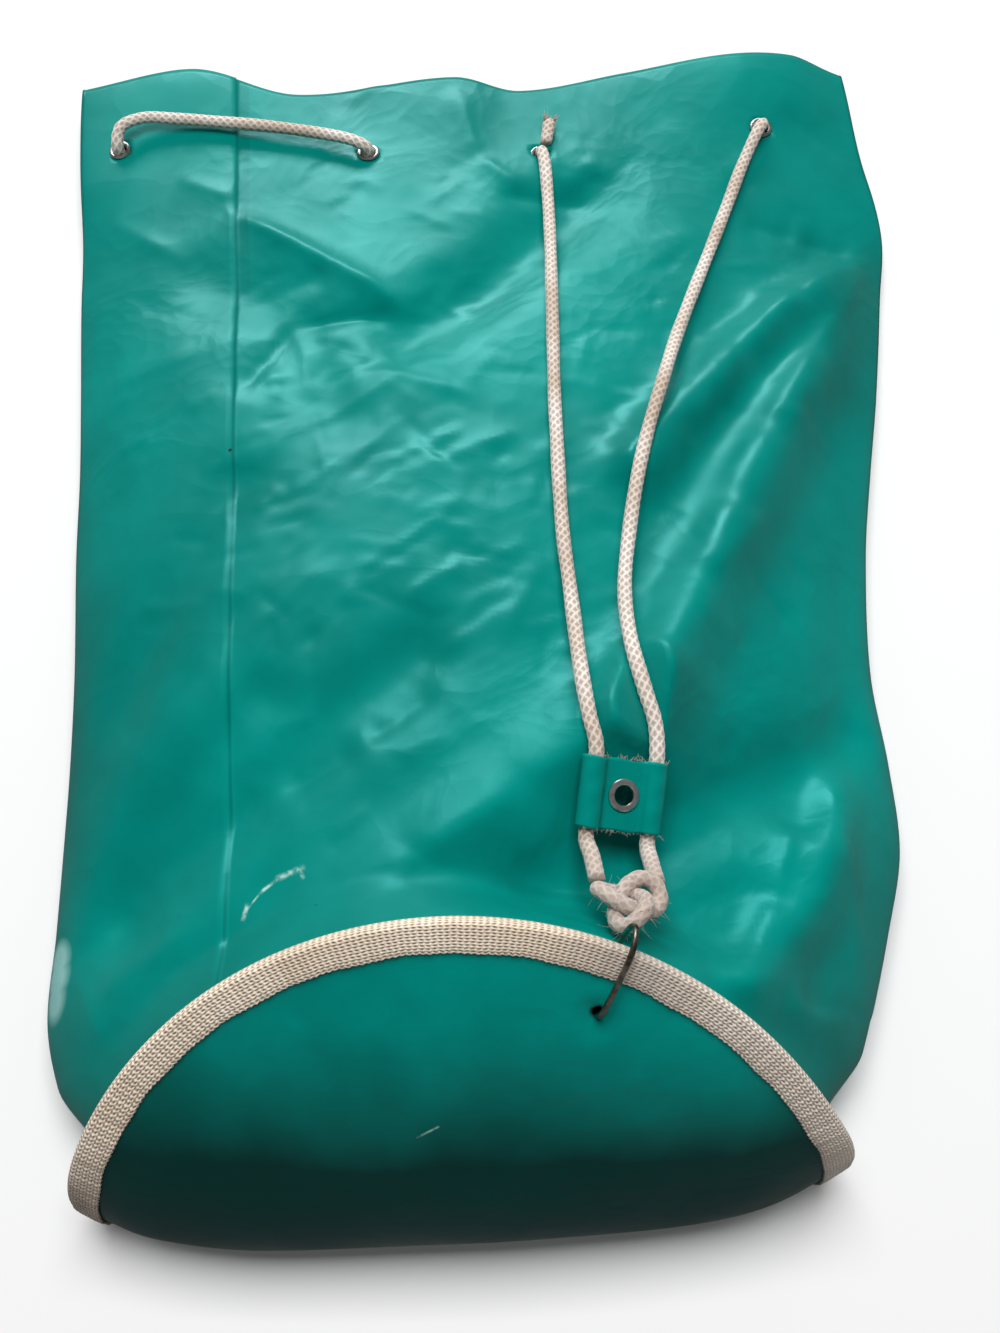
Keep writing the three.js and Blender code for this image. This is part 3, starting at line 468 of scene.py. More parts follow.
# Sharp creases in millimetres. Columns: from x and y, to x and y, rise and width.
creases = [
    (-109, 169, -29, 111, 3.2, 6),
    (-78, 105, -31, 109, -2.6, 5),
    (-78, 105, -99, 66, -1.8, 7),
    (-100, 118, -62, 133, -1.2, 8),
    (-9, 245, 2, 203, 1.4, 6),
    (2, 203, 22, 183, 1.2, 5),
    (13, 179, 54, 180, -1.4, 5),
    (41, 188, 59, 203, 1, 6),
    (54, 180, 78, 209, -0.9, 7),
    (150, 159, 125, 166, -1.2, 6),
    (144, 120, 115, 87, 1.6, 7),
    (115, 87, 90, 44, 1.4, 8),
    (90, 44, 68, 5, 1, 9),
    (178, 142, 149, 90, 1.2, 6),
    (149, 90, 123, 44, 1.4, 7),
    (123, 44, 104, 7, 1.2, 7),
    (104, 7, 89, -31, 1, 7),
    (89, -31, 76, -63, 1.2, 7),
    (76, -63, 48, -102, 1.2, 7),
    (82, -190, 114, -190, -2.2, 6),
    (114, -190, 148, -191, -2.4, 6),
    (119, -126, 109, -154, 2, 7),
    (109, -154, 93, -187, 1.8, 7),
    (135, -125, 146, -185, 1.5, 8),
    (117, -127, 154, -106, -1, 8),
    (-42, -172, -15, -145, 1.6, 8),
    (-15, -145, 19, -120, 1.8, 8),
    (19, -120, 63, -88, 1.8, 8),
    (48, -142, 85, -118, -1.6, 10),
    (85, -118, 122, -93, -1.2, 10),
    (-128, -188, -93, -165, 1.2, 9),
    (-109, -183, -55, -160, -1.2, 8),
    (-10, -77, -38, -99, -1.5, 8),
    (-38, -99, -68, -116, -1.5, 8),
    (-68, -116, -113, -143, -1, 10),
    (-84, -32, -108, -78, -1, 8),
    (-165, 76, -118, 92, 0.8, 8),
    (-154, 126, -105, 102, -0.7, 7),
    (-174, 175, -128, 144, 0.8, 6),
    (-137, 193, -110, 179, 0.9, 5),
    (-74, 99, -67, 60, 0.9, 4),
    (-67, 60, -56, 18, 0.7, 4),
    (-43, 77, 0, 61, 1, 4),
    (-31, 54, -4, 21, -0.8, 4),
    (-70, 45, -30, 71, 0.8, 4),
    (-20, 22, 21, 42, 0.8, 5),
    (-10, -63, 20, -40, 1, 4),
    (-26, -40, 1, -22, 0.8, 4),
    (-41, -35, -10, -48, -0.6, 4),
    (13, -58, 28, -22, 0.7, 4),
    (-103, -52, -75, -103, 0.6, 9),
    (-86, -54, -54, -21, 0.8, 7),
    (89, -33, 117, 1, 1, 5),
    (84, -45, 104, -53, 0.6, 5),
    (139, 62, 162, 38, -0.8, 8),
    (127, 118, 99, 98, -0.8, 6),
    (75, 134, 104, 160, 0.6, 8),
    (88, 226, 124, 186, 0.8, 8),
    (146, 232, 179, 209, -1, 9),
    (121, 209, 152, 176, 0.7, 6),
    (-21, -153, 6, -161, -1, 7),
    (3, -163, 33, -146, -1.6, 9),
    (59, -169, 105, -147, -1.8, 10),
    (33, -123, 19, -144, 1, 8),
    (-143, -172, -121, -205, 1.4, 8),
    (-121, -205, -102, -185, -1, 8),
    (176, 151, 150, 159, -2.0, 7),
    (176, 146, 144, 120, 1.6, 6),
    (179, 256, 183, 232, 1.0, 7),
]


def read_table(rows, at, column):
    keys, values = rows[:, 0], rows[:, column]
    after = 1 + np.searchsorted(keys[1:-1], at)
    before = after - 1
    span = keys[after] - keys[before]
    share = np.clip((at - keys[before]) / span, 0, 1)

    def slope(index):
        low, high = np.maximum(index - 1, 0), np.minimum(index + 1, len(keys) - 1)
        return (values[high] - values[low]) / (keys[high] - keys[low]) * span

    square, cube = share**2, share**3
    return (
        (2 * cube - 3 * square + 1) * values[before]
        + (cube - 2 * square + share) * slope(before)
        + (3 * square - 2 * cube) * values[after]
        + (cube - square) * slope(after)
    )


def smooth_step(value):
    value = np.clip(value, 0, 1)
    return value * value * (3 - 2 * value)


def base_point(across, from_fold, depth):
    """A point of the bent base panel, moved outward by a depth."""

    def heading(place):
        upper = base_lean + (math.pi / 2 - base_lean) * np.exp(-np.maximum(place, 0) / fold_spread)
        return np.where(place >= 0, upper, np.minimum(math.pi / 2 - place / fold_radius, math.pi))

    steps = 24
    along = np.full(np.shape(from_fold), fold_front)
    height = np.full(np.shape(from_fold), binding_face + fold_radius)
    for index in range(steps):
        turn = heading((index + 0.5) * from_fold / steps)
        along = along + np.cos(turn) * from_fold / steps
        height = height + np.sin(turn) * from_fold / steps
    side = across / 135.0
    near_fold = np.exp(-((from_fold / fold_radius / 2.5) ** 2))
    outward = heading(from_fold) + math.pi / 2
    return np.stack(
        [
            across + 0 * height,
            along + (7.0 * side + 14.0 * side**6) * near_fold + np.cos(outward) * depth,
            np.maximum(height, binding_face) + np.sin(outward) * depth,
        ],
        axis=-1,
    )


def rim_point(angle, radius, depth):
    return base_point(radius * np.cos(angle), radius * np.sin(angle), depth)


def across_share(angle):
    turned = np.where(angle <= math.pi, angle, 2 * math.pi - angle)
    return 0.4 * np.cos(turned) + 0.6 * (1 - 2 * turned / math.pi)


def line_effect(x, y, start, end, spread, sharp):
    """How near points are to a line between two ends, from 1 on it to 0 away from it."""
    run = np.array(end, dtype=float) - np.array(start, dtype=float)
    length = np.linalg.norm(run)
    forward = ((x - start[0]) * run[0] + (y - start[1]) * run[1]) / length
    sideways = ((x - start[0]) * run[1] - (y - start[1]) * run[0]) / length
    past = np.maximum(0, np.maximum(-forward, forward - length))
    if sharp:
        ends = smooth_step((forward + 0.1 * length) / (0.35 * length))
        ends = ends * smooth_step((1.1 * length - forward) / (0.35 * length))
        soft = 0.18 * spread
        return np.exp(-(np.sqrt(sideways**2 + soft**2) - soft) / spread) * ends
    return np.exp(-(sideways**2 + past**2) / spread**2)


def lying_point(angle, y):
    along = y / half_reach
    share = across_share(angle)
    left, right = read_table(outline, along, 1), read_table(outline, along, 2)
    x = half_width * np.where(share < 0, left, right) * share
    lift = mouth_lift * smooth_step((along - 0.52) / 0.22)
    side = side_height * read_table(outline, along, 4)
    crown = crown_height * read_table(outline, along, 3)
    turned = np.sin(angle)
    rest = np.maximum(0, 1 + turned / 0.28)
    back = lift + (side - 0.4 * lift) * rest**2
    curl = smooth_step((along - 0.7) / 0.3) * crown_height * read_table(mouth_edge, share, 2)
    low = side + 0.6 * lift
    rise = 0.0
    for points, height, spread in main_folds:
        run = [(across * half_width, reach * half_reach) for across, reach in points]
        near = [line_effect(x, y, start, end, spread * 2 * half_width, False) for start, end in zip(run, run[1:])]
        rise = rise + height * crown_height * np.maximum.reduce(near)
    front = low + (crown + curl - low) * np.maximum(turned, 0) ** 0.75 + rise * smooth_step(turned * 2)
    return np.stack([x, y, np.where(turned < 0, back, front)], axis=-1)


def wall_angle_grid(angles, places):
    """The turn of each corner of the wall. One column of corners follows the lap's straight edge."""
    angle, place = np.meshgrid(angles, places)
    lap_column = int(np.argmin(np.abs(angles - lap_angle)))
    (from_x, from_y), (to_x, to_y) = np.array(overlap_line) * 1000
    turns = np.linspace(0, math.pi, 400)
    for _ in range(4):
        here = angle[:, lap_column]
        start = rim_point(here, wall_radius, flange_under - seam_drop)[:, 1]
        mouth = half_reach * read_table(mouth_edge, across_share(here), 1)
        y = start + (mouth - start) * places
        lap_x = from_x + (to_x - from_x) * (y - from_y) / (to_y - from_y)
        share = -lap_x / (half_width * read_table(outline, y / half_reach, 1))
        wanted = np.interp(share, -across_share(turns), turns)
        for row, turn in enumerate(wanted):
            angle[row] = np.interp(angles, [0, angles[lap_column], math.pi, 2 * math.pi], [0, turn, math.pi, 2 * math.pi])
    return angle, place, lap_column


def wall_grid(angle, place):
    """Points of the wall's outer face, a row for each place from the seam to the mouth."""
    start = rim_point(angle, wall_radius, flange_under - seam_drop)
    mouth = half_reach * read_table(mouth_edge, across_share(angle), 1)
    y = start[..., 1] + (mouth - start[..., 1]) * place
    blend = smooth_step(place / np.where(np.sin(angle) > 0, 0.07, 0.1))[..., None]
    upright = np.stack([start[..., 0], y, start[..., 2]], axis=-1)
    return upright * (1 - blend) + lying_point(angle, y) * blend


def grid_normals(points):
    round_run = np.roll(points, -1, axis=1) - np.roll(points, 1, axis=1)
    forward = np.gradient(points, axis=0)
    normals = np.cross(forward, round_run)
    return normals / np.maximum(np.linalg.norm(normals, axis=-1), 1e-9)[..., None]


def crinkle(x, y):
    """Fine creases of much-folded vinyl: many short lines, closest together in the middle."""
    draw = random.Random(21)
    height = np.zeros_like(x)
    for _ in range(420):
        centre_x, centre_y = draw.gauss(5, 75), draw.gauss(25, 95)
        turn = draw.gauss(math.radians(35), 0.75)
        reach = draw.uniform(7, 30)
        step = (math.cos(turn) * reach / 2, math.sin(turn) * reach / 2)
        start = (centre_x - step[0], centre_y - step[1])
        end = (centre_x + step[0], centre_y + step[1])
        rise = draw.uniform(0.15, 0.75) * draw.choice((-1, 1)) * min(1.0, reach / 16)
        width = draw.uniform(1.6, 3.4)
        near = (np.abs(x - centre_x) < reach) & (np.abs(y - centre_y) < reach)
        if near.any():
            height[near] += rise * line_effect(x[near], y[near], start, end, width, True)
    return height


front_angles = np.linspace(0, math.pi, 190)
back_angles = np.linspace(math.pi, 2 * math.pi, 56)[1:-1]
wall_angles = np.concatenate([front_angles, back_angles])
wall_places = np.concatenate([np.linspace(0, 0.1, 26), np.linspace(0.1, 1.0, 172)[1:]])
angle_grid, place_grid, lap_column = wall_angle_grid(wall_angles, wall_places)
angle_grid[:, lap_column + 1] = angle_grid[:, lap_column] + lap_edge
outer = wall_grid(angle_grid, place_grid)
normals = grid_normals(outer)
relief = crinkle(outer[..., 0], outer[..., 1])
for from_x, from_y, to_x, to_y, rise, width in creases:
    relief += 1.7 * rise * line_effect(outer[..., 0], outer[..., 1], (from_x, from_y), (to_x, to_y), width, True)
relief *= smooth_step(np.sin(angle_grid) * 2.5) * smooth_step((place_grid - 0.03) / 0.08)
outer = outer + normals * relief[..., None]

# The cord presses the vinyl down where it lies on it.
cord_tree = kdtree.KDTree(len(cord_centres))
for index, centre in enumerate(cord_centres):
    cord_tree.insert((centre[0] * 1000, centre[1] * 1000, 0.0), index)
cord_tree.balance()
cord_reach = cord_diameter * 1000 * 0.5 + 0.35
shoulder = 13.0
for row in range(outer.shape[0]):
    for column in range(outer.shape[1]):
        corner = outer[row, column]
        if normals[row, column, 2] < 0.2:
            continue
        for _, index, gap in cord_tree.find_range((corner[0], corner[1], 0.0), shoulder):
            centre = cord_centres[index] * 1000
            if abs(centre[2] - corner[2]) > (16.0 if centre[2] > 40.0 else 6.0):
                continue
            if gap < cord_reach:
                corner[2] = min(corner[2], centre[2] - math.sqrt(cord_reach**2 - gap**2))
            elif centre[2] > 40.0:
                corner[2] = min(corner[2], centre[2] + 0.8 * (gap - cord_reach))

lapped = smooth_step((lap_fade - (angle_grid - angle_grid[:, lap_column + 1][:, None])) / lap_fade)
lapped = np.where(np.arange(len(wall_angles)) > lap_column, lapped, 0.0) * smooth_step((place_grid - 0.02) / 0.03)
outer = outer + normals * (overlap_step * lapped)[..., None]

inner_rows = np.append(np.arange(2, len(wall_places) - 1, 2), len(wall_places) - 1)
inner = outer[inner_rows] - normals[inner_rows] * vinyl
flange = [
    rim_point(wall_angles, edge_radius, flange_under),
    rim_point(wall_angles, wall_radius + 1.5, flange_under),
    rim_point(wall_angles, wall_radius, flange_under - 0.8),
]
flange_inside = [
    rim_point(wall_angles, wall_radius - vinyl, flange_under - seam_drop),
    rim_point(wall_angles, wall_radius - vinyl, flange_top),
    rim_point(wall_angles, edge_radius, flange_top),
]
loops = np.concatenate([np.array(flange), outer, inner[::-1], np.array(flange_inside)]) / 1000
run = np.concatenate([[-0.012, -0.002, -0.001], wall_places, wall_places[inner_rows][::-1], [0.0, -0.002, -0.012]])
turn_share = np.append(wall_angles, 2 * math.pi) / (2 * math.pi)
wall_uv = np.stack(np.meshgrid(turn_share, np.append(run, run[0])), axis=-1)
body_wall = grid_piece("body_wall_creased", loops, wall_uv, True, True)


def punch_holes(piece, holes, radius, depth):
    """Cuts round holes through a piece, each given by its middle and its direction."""
    cutters = []
    for middle, aim in holes:
        bpy.ops.object.select_all(action="DESELECT")
        bpy.ops.mesh.primitive_cylinder_add(vertices=24, radius=radius, depth=depth, location=middle)
        cutter = bpy.context.object
        cutter.rotation_euler = Vector(aim).to_track_quat("Z", "Y").to_euler()
        cutters.append(cutter)
    for cutter in cutters:
        bpy.ops.object.select_all(action="DESELECT")
        bpy.context.view_layer.objects.active = piece
        piece.select_set(True)
        cut = piece.modifiers.new("hole", "BOOLEAN")
        cut.operation = "DIFFERENCE"
        cut.solver = "MANIFOLD"
        cut.object = cutter
        bpy.ops.object.modifier_apply(modifier=cut.name)
        bpy.data.objects.remove(cutter)
    piece.data.materials.clear()


eyelet_seats = [
    ((-168.0, 213.1, 20.8), (-0.133, -0.008, 0.991)),
    ((-49.3, 206.1, 27.0), (-0.032, 0.113, 0.993)),
    ((31.5, 206.6, 24.7), (0.119, -0.029, 0.992)),
    ((135.9, 221.5, 26.6), (0.07, -0.129, 0.989)),
    ((163.2, 222.5, 8.4), (0.086, 0.008, -0.996)),
    ((74.9, 213.8, 8.0), (0.0, 0.0, -1.0)),
    ((-36.8, 208.0, 8.0), (0.0, 0.0, -1.0)),
    ((-139.4, 216.2, 8.0), (0.0, 0.0, -1.0)),
]
punch_holes(body_wall, [([v / 1000 for v in seat], aim) for seat, aim in eyelet_seats], 0.0037, 0.012)


def stroke(tree, place, start, end, width):
    """A soft line from one point to another over the object, seen from above."""
    run = Vector(end) - Vector(start)
    aim = run.normalized()
    offset = node(tree, "VectorMath", {0: place, 1: (*start, 0.0)}, operation="SUBTRACT").outputs[0]
    forward = node(tree, "VectorMath", {0: offset, 1: (aim.x, aim.y, 0.0)}, operation="DOT_PRODUCT").outputs["Value"]
    sideways = node(tree, "VectorMath", {0: offset, 1: (-aim.y, aim.x, 0.0)}, operation="DOT_PRODUCT").outputs["Value"]
    apart = node(tree, "Math", {0: sideways}, operation="ABSOLUTE").outputs[0]
    past = node(tree, "Math", {0: forward, 1: run.length / 2}, operation="SUBTRACT").outputs[0]
    past = node(tree, "Math", {0: past}, operation="ABSOLUTE").outputs[0]
    near = node(tree, "MapRange", {0: apart, 1: width, 2: 0.2 * width, 3: 0.0, 4: 1.0}).outputs[0]
    inside = node(tree, "MapRange", {0: past, 1: run.length / 2 + width, 2: run.length / 2 - width}).outputs[0]
    return node(tree, "Math", {0: near, 1: inside}, operation="MULTIPLY").outputs[0]


def spot(tree, place, middle, radius):
    away = node(tree, "VectorMath", {0: place, 1: middle}, operation="DISTANCE").outputs["Value"]
    return node(tree, "MapRange", {0: away, 1: radius, 2: 0.5 * radius, 3: 0.0, 4: 1.0}).outputs[0]


def lap_side(tree, place, start, end):
    """How far a point of the front lies to the right of the lap's edge, and far to the left at the back."""
    aim = (Vector(end) - Vector(start)).normalized()
    offset = node(tree, "VectorMath", {0: place, 1: (*start, 0.0)}, operation="SUBTRACT").outputs[0]
    beside = node(tree, "VectorMath", {0: offset, 1: (-aim.y, aim.x, 0.0)}, operation="DOT_PRODUCT").outputs["Value"]
    height = node(tree, "SeparateXYZ", {0: place}).outputs["Z"]
    back = node(tree, "Math", {0: height, 1: 0.013}, operation="LESS_THAN").outputs[0]
    return node(tree, "Math", {0: back, 1: -1.0, 2: beside}, operation="MULTIPLY_ADD").outputs[0]


def total(tree, masks):
    """Several masks laid over each other."""
    sum_so_far = masks[0]
    for mask in masks[1:]:
        sum_so_far = node(tree, "Math", {0: sum_so_far, 1: mask}, operation="MAXIMUM").outputs[0]
    return sum_so_far


def green_vinyl(name, scuffs=(), specks_and_painted_shade=(), painted_highlight_spots=(), painted_light_factor=1.0, lap=None, dirt_and_painted_shade=None):
    """Glossy green vinyl: fine crinkles and grain, clouded colour, scuffs, specks, painted highlight spots, painted
    shade towards the floor, a painted shadow along a lap and a factor that paints it brighter or darker.
    """
    material, tree, shader = new_material(name)
    place = node(tree, "TexCoord").outputs["Object"]
    cloud = node(tree, "TexNoise", {"Vector": place, "Scale": 9.0, "Detail": 5.0, "Roughness": 0.6}).outputs["Fac"]
    # Painted light: the factor makes brighter or darker copies of the same vinyl.
    deep = (0.0, 0.13 * painted_light_factor, 0.108 * painted_light_factor)
    full = (0.0, 0.21 * painted_light_factor, 0.178 * painted_light_factor)
    colour = colour_ramp(tree, cloud, [(0.3, deep), (0.7, full)])
    # Painted shade: below the given heights the colour darkens to near black towards the floor, where the panel turns
    # away from the lights.
    if dirt_and_painted_shade:
        height = node(tree, "SeparateXYZ", {0: place}).outputs["Z"]
        ragged = node(tree, "Math", {0: cloud, 1: 0.02, 2: height}, operation="MULTIPLY_ADD").outputs[0]
        grime_and_painted_shade_mask = node(tree, "MapRange", {0: ragged, 1: dirt_and_painted_shade[0], 2: dirt_and_painted_shade[1], 3: 0.93, 4: 0.0}).outputs[0]
        colour = blend_colours(tree, grime_and_painted_shade_mask, colour, (0.001, 0.012, 0.009, 1.0))
    # Dark specks; on the base one of them is painted shade round the ring's hole.
    if specks_and_painted_shade:
        marks = total(tree, [spot(tree, place, middle, radius) for middle, radius in specks_and_painted_shade])
        colour = blend_colours(tree, marks, colour, (0.01, 0.012, 0.01, 1.0))
    if scuffs:
        marks = total(tree, [stroke(tree, place, *line) for line in scuffs])
        patchy = node(tree, "TexNoise", {"Vector": place, "Scale": 420.0, "Detail": 3.0}).outputs["Fac"]
        patchy = node(tree, "MapRange", {0: patchy, 1: 0.4, 2: 0.66, 3: 0.1, 4: 0.8}).outputs[0]
        marks = node(tree, "Math", {0: marks, 1: patchy}, operation="MULTIPLY").outputs[0]
        colour = blend_colours(tree, marks, colour, (0.45, 0.66, 0.6, 1.0))
    # Painted highlight: pale teal spots on the wall's left corner beside the base, in place of glare on a fold.
    if painted_highlight_spots:
        marks = total(tree, [spot(tree, place, middle, radius) for middle, radius in painted_highlight_spots])
        colour = blend_colours(tree, marks, colour, (0.2, 0.42, 0.4, 1.0))
    tree.links.new(colour, shader.inputs["Base Color"])
    bend = node(tree, "TexNoise", {"Vector": place, "Scale": 14.0, "Detail": 2.0}).outputs["Color"]
    moved = node(tree, "VectorMath", {0: bend, 1: (0.06, 0.06, 0.06)}, operation="MULTIPLY").outputs[0]
    moved = node(tree, "VectorMath", {0: place, 1: moved}, operation="ADD").outputs[0]
    facets = node(tree, "TexVoronoi", {"Vector": moved, "Scale": 42.0}, feature="F1").outputs["Distance"]
    small = node(tree, "TexVoronoi", {"Vector": moved, "Scale": 120.0}, feature="F1").outputs["Distance"]
    amount = node(tree, "TexNoise", {"Vector": place, "Scale": 6.0, "Detail": 1.0}).outputs["Fac"]
    amount = node(tree, "MapRange", {0: amount, 1: 0.4, 2: 0.65, 3: 0.05, 4: 1.0}).outputs[0]
    large_bump = node(tree, "Bump", {"Height": facets, "Strength": 0.16, "Distance": 0.003})
    small_height = node(tree, "Math", {0: small, 1: amount}, operation="MULTIPLY").outputs[0]
    small_bump = node(tree, "Bump", {"Height": small_height, "Strength": 0.22, "Distance": 0.0012})
    tree.links.new(large_bump.outputs["Normal"], small_bump.inputs["Normal"])
    grain = node(tree, "TexNoise", {"Vector": place, "Scale": 1600.0, "Detail": 2.0}).outputs["Fac"]
    grain_bump = node(tree, "Bump", {"Height": grain, "Strength": 0.12, "Distance": 0.0002})
    tree.links.new(small_bump.outputs["Normal"], grain_bump.inputs["Normal"])
    if lap:
        # Painted shadow along the lap: a thin dark line on its edge and, towards the mouth, a dark band about 6 mm
        # wide on the lower panel beside it.
        beside = lap_side(tree, place, *lap)
        line = node(tree, "Math", {0: beside}, operation="ABSOLUTE").outputs[0]
        line = node(tree, "MapRange", {0: line, 1: 0.0008, 2: 0.0003, 3: 0.0, 4: 0.3}).outputs[0]
        lap_shadow_band = node(tree, "MapRange", {0: beside, 1: 0.0062, 2: 0.0054, 3: 0.0, 4: 0.22}).outputs[0]
        under = node(tree, "MapRange", {0: beside, 1: -0.0002, 2: 0.0002}).outputs[0]
        lap_shadow_band = node(tree, "Math", {0: lap_shadow_band, 1: under}, operation="MULTIPLY").outputs[0]
        high = node(tree, "SeparateXYZ", {0: place}).outputs["Y"]
        high = node(tree, "MapRange", {0: high, 1: 0.1, 2: 0.17}).outputs[0]
        lap_shadow_band = node(tree, "Math", {0: lap_shadow_band, 1: high}, operation="MULTIPLY").outputs[0]
        painted_lap_shadow = node(tree, "Math", {0: line, 1: lap_shadow_band}, operation="MAXIMUM").outputs[0]
        colour = blend_colours(tree, painted_lap_shadow, colour, (0.0, 0.045, 0.038, 1.0))
        tree.links.new(colour, shader.inputs["Base Color"])
    tree.links.new(grain_bump.outputs["Normal"], shader.inputs["Normal"])
    shader.inputs["Specular Tint"].default_value = (0.1, 0.9, 0.95, 1.0)
    sheen = node(tree, "TexNoise", {"Vector": place, "Scale": 22.0, "Detail": 6.0}).outputs["Fac"]
    rough = node(tree, "MapRange", {0: sheen, 1: 0.3, 2: 0.7, 3: 0.32, 4: 0.5}).outputs[0]
    tree.links.new(rough, shader.inputs["Roughness"])
    return material


wall_scuffs = [
    ((-0.0755, -0.1635), (-0.0745, -0.1585), 0.0011),
    ((-0.075, -0.1612), (-0.0702, -0.1543), 0.0005),
    ((-0.0702, -0.1543), (-0.064, -0.1495), 0.0009),
    ((-0.064, -0.1495), (-0.056, -0.1465), 0.0016),
    ((-0.057, -0.1465), (-0.055, -0.15), 0.0009),
]
wall_specks = [((-0.0487, -0.162, 0.0852), 0.0012), ((-0.0993, 0.0371, 0.0437), 0.001)]
# Painted highlight spots on the wall's left corner beside the base.
wall_painted_highlights = [((-0.1495, -0.171, 0.032), 0.009), ((-0.1485, -0.178, 0.032), 0.01), ((-0.1475, -0.186, 0.032), 0.0095)]
wall_vinyl = green_vinyl("wall_vinyl", wall_scuffs, wall_specks, wall_painted_highlights, lap=overlap_line)
body_wall.data.materials.append(wall_vinyl)
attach(body_wall, "root")
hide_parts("body_wall")

# Base panel
# The round vinyl base. It is bent outward across its middle: the lower half lies flat under the bag and
# the upper half leans back, swollen a little, up to the bound arch.
base_thickness = 1.4
base_edge = 133.7
swell = 5.0
swell_radius = 121.0


def base_swell(x, away, radius):
    """How far the panel's face stands out: a soft swell, a few shallow dents and the dimple at the ring."""
    depth = swell * (1 - np.minimum(radius / swell_radius, 1) ** 4)
    inside = 1 - smooth_step((radius - 100) / 20)
    for middle_x, middle_away, rise, reach in (
        (-62, 40, -1.1, 26), (30, 62, -1.2, 30), (-10, 86, 0.8, 22), (78, 30, -0.9, 20), (-95, 12, -0.8, 18),
        (12, 20, 0.9, 26), (60, 78, 0.7, 15),
    ):
        depth = depth + inside * rise * np.exp(-((x - middle_x) ** 2 + (away - middle_away) ** 2) / reach**2)
    dimple = np.exp(-((x - 43.1) ** 2 + (away - 103.0) ** 2) / 5.0**2)
    off_floor = smooth_step((away + 34) / 40)
    return depth * off_floor * (1 - dimple) - 0.9 * dimple


panel_angles = np.arange(240) / 240 * 2 * math.pi
panel_radii = np.concatenate([[0.02], np.linspace(2, 132.5, 66), [base_edge]])
panel_angle, panel_radius = np.meshgrid(panel_angles, panel_radii)
panel_x, panel_away = panel_radius * np.cos(panel_angle), panel_radius * np.sin(panel_angle)
panel_depth = base_swell(panel_x, panel_away, panel_radius)
outside_face = base_point(panel_x, panel_away, base_thickness + panel_depth)
inside_face = base_point(panel_x, panel_away, panel_depth)
panel_loops = np.concatenate([outside_face, inside_face[::-1]]) / 1000
panel_run = np.concatenate([panel_radii, panel_radii[::-1], [0.0]]) / 135
panel_uv = np.stack(np.meshgrid(np.arange(241) / 240, panel_run), axis=-1)
base_panel = grid_piece("base_panel_bent", panel_loops, panel_uv, False, True, True)
ring_hole = (0.0431, -0.1989, 0.1039)
punch_holes(base_panel, [(ring_hole, (0.0, -0.6, 0.8))], 0.0019, 0.014)
base_specks_and_hole_shade = [
    ((0.0078, -0.2015, 0.1028), 0.0014),
    ((0.0153, -0.2051, 0.0998), 0.0013),
    ((-0.0062, -0.199, 0.1048), 0.0009),
    ((0.0102, -0.2462, 0.0605), 0.0017),
    # Painted shade round the ring's hole.
    ((0.0431, -0.1985, 0.104), 0.0034),
]
base_scuffs = [((-0.014, -0.235), (-0.007, -0.2318), 0.0004)]
# The base panel is painted lighter than the wall's vinyl, and painted shade darkens it towards the floor.
base_vinyl = green_vinyl("base_vinyl", base_scuffs, base_specks_and_hole_shade, painted_light_factor=1.3, dirt_and_painted_shade=(0.08, 0.113))
base_panel.data.materials.append(base_vinyl)
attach(base_panel, "root")
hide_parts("base_panel")

# Rim binding
# Cream cotton webbing folded over the edge of the base and the wall's flange, and sewn through all layers.
# Its colour darkens to brown at both lower ends as painted shade, and it is greyed where the ring rubs it.
binding_inside = 124.3
binding_outside = 135.0
binding_back = -3.0
webbing = 1.0
weave_step = 2.1
binding_columns = 1480
binding_angles = np.arange(binding_columns) / binding_columns * 2 * math.pi
binding_profile = [
    (binding_inside, binding_face - 0.4), (binding_inside + 0.4, binding_face - 0.05),
    (binding_inside + 3.0, binding_face), (binding_outside - 1.9, binding_face),
    (binding_outside - 0.9, binding_face - 0.25), (binding_outside - 0.25, binding_face - 0.9),
    (binding_outside, binding_face - 1.9), (binding_outside, binding_back + 1.9),
    (binding_outside - 0.25, binding_back + 0.9), (binding_outside - 0.9, binding_back + 0.25),
    (binding_outside - 1.9, binding_back), (binding_inside + 5.0, binding_back),
    (binding_inside, binding_back), (binding_inside, binding_back + webbing),
    (binding_outside - webbing, binding_back + webbing), (binding_outside - webbing, binding_face - webbing),
    (binding_inside, binding_face - webbing),
]
ripple = 0.2 * np.sin(binding_angles * 23 + 0.6) + 0.14 * np.sin(binding_angles * 41)
scallop = 0.2 * np.sin(binding_angles * binding_columns / 4)
pucker = 0.12 * np.sin(binding_angles * 150) + 0.1 * np.sin(binding_angles * 61 + 2)
binding_loops = []
for radius, depth in binding_profile:
    near_inside = (binding_outside - radius) / (binding_outside - binding_inside)
    inner_edge = radius < binding_inside + 0.5
    raised = depth + (pucker if depth > 1.0 and radius < binding_outside - 0.5 else 0.0)
    moved = radius + ripple * near_inside + (scallop if inner_edge else 0.0)
    binding_loops.append(rim_point(binding_angles, moved, raised))
binding_loops = np.array(binding_loops) / 1000
binding_width = np.concatenate([np.cumsum([0.0] + [
    math.dist(a, b) for a, b in zip(binding_profile, binding_profile[1:] + binding_profile[:1])
])])
binding_run = np.arange(binding_columns + 1) / binding_columns * 84.8
binding_uv = np.stack(np.meshgrid(binding_run, binding_width / 10), axis=-1)
rim_binding = grid_piece("rim_binding_webbing", binding_loops, binding_uv, True, True)


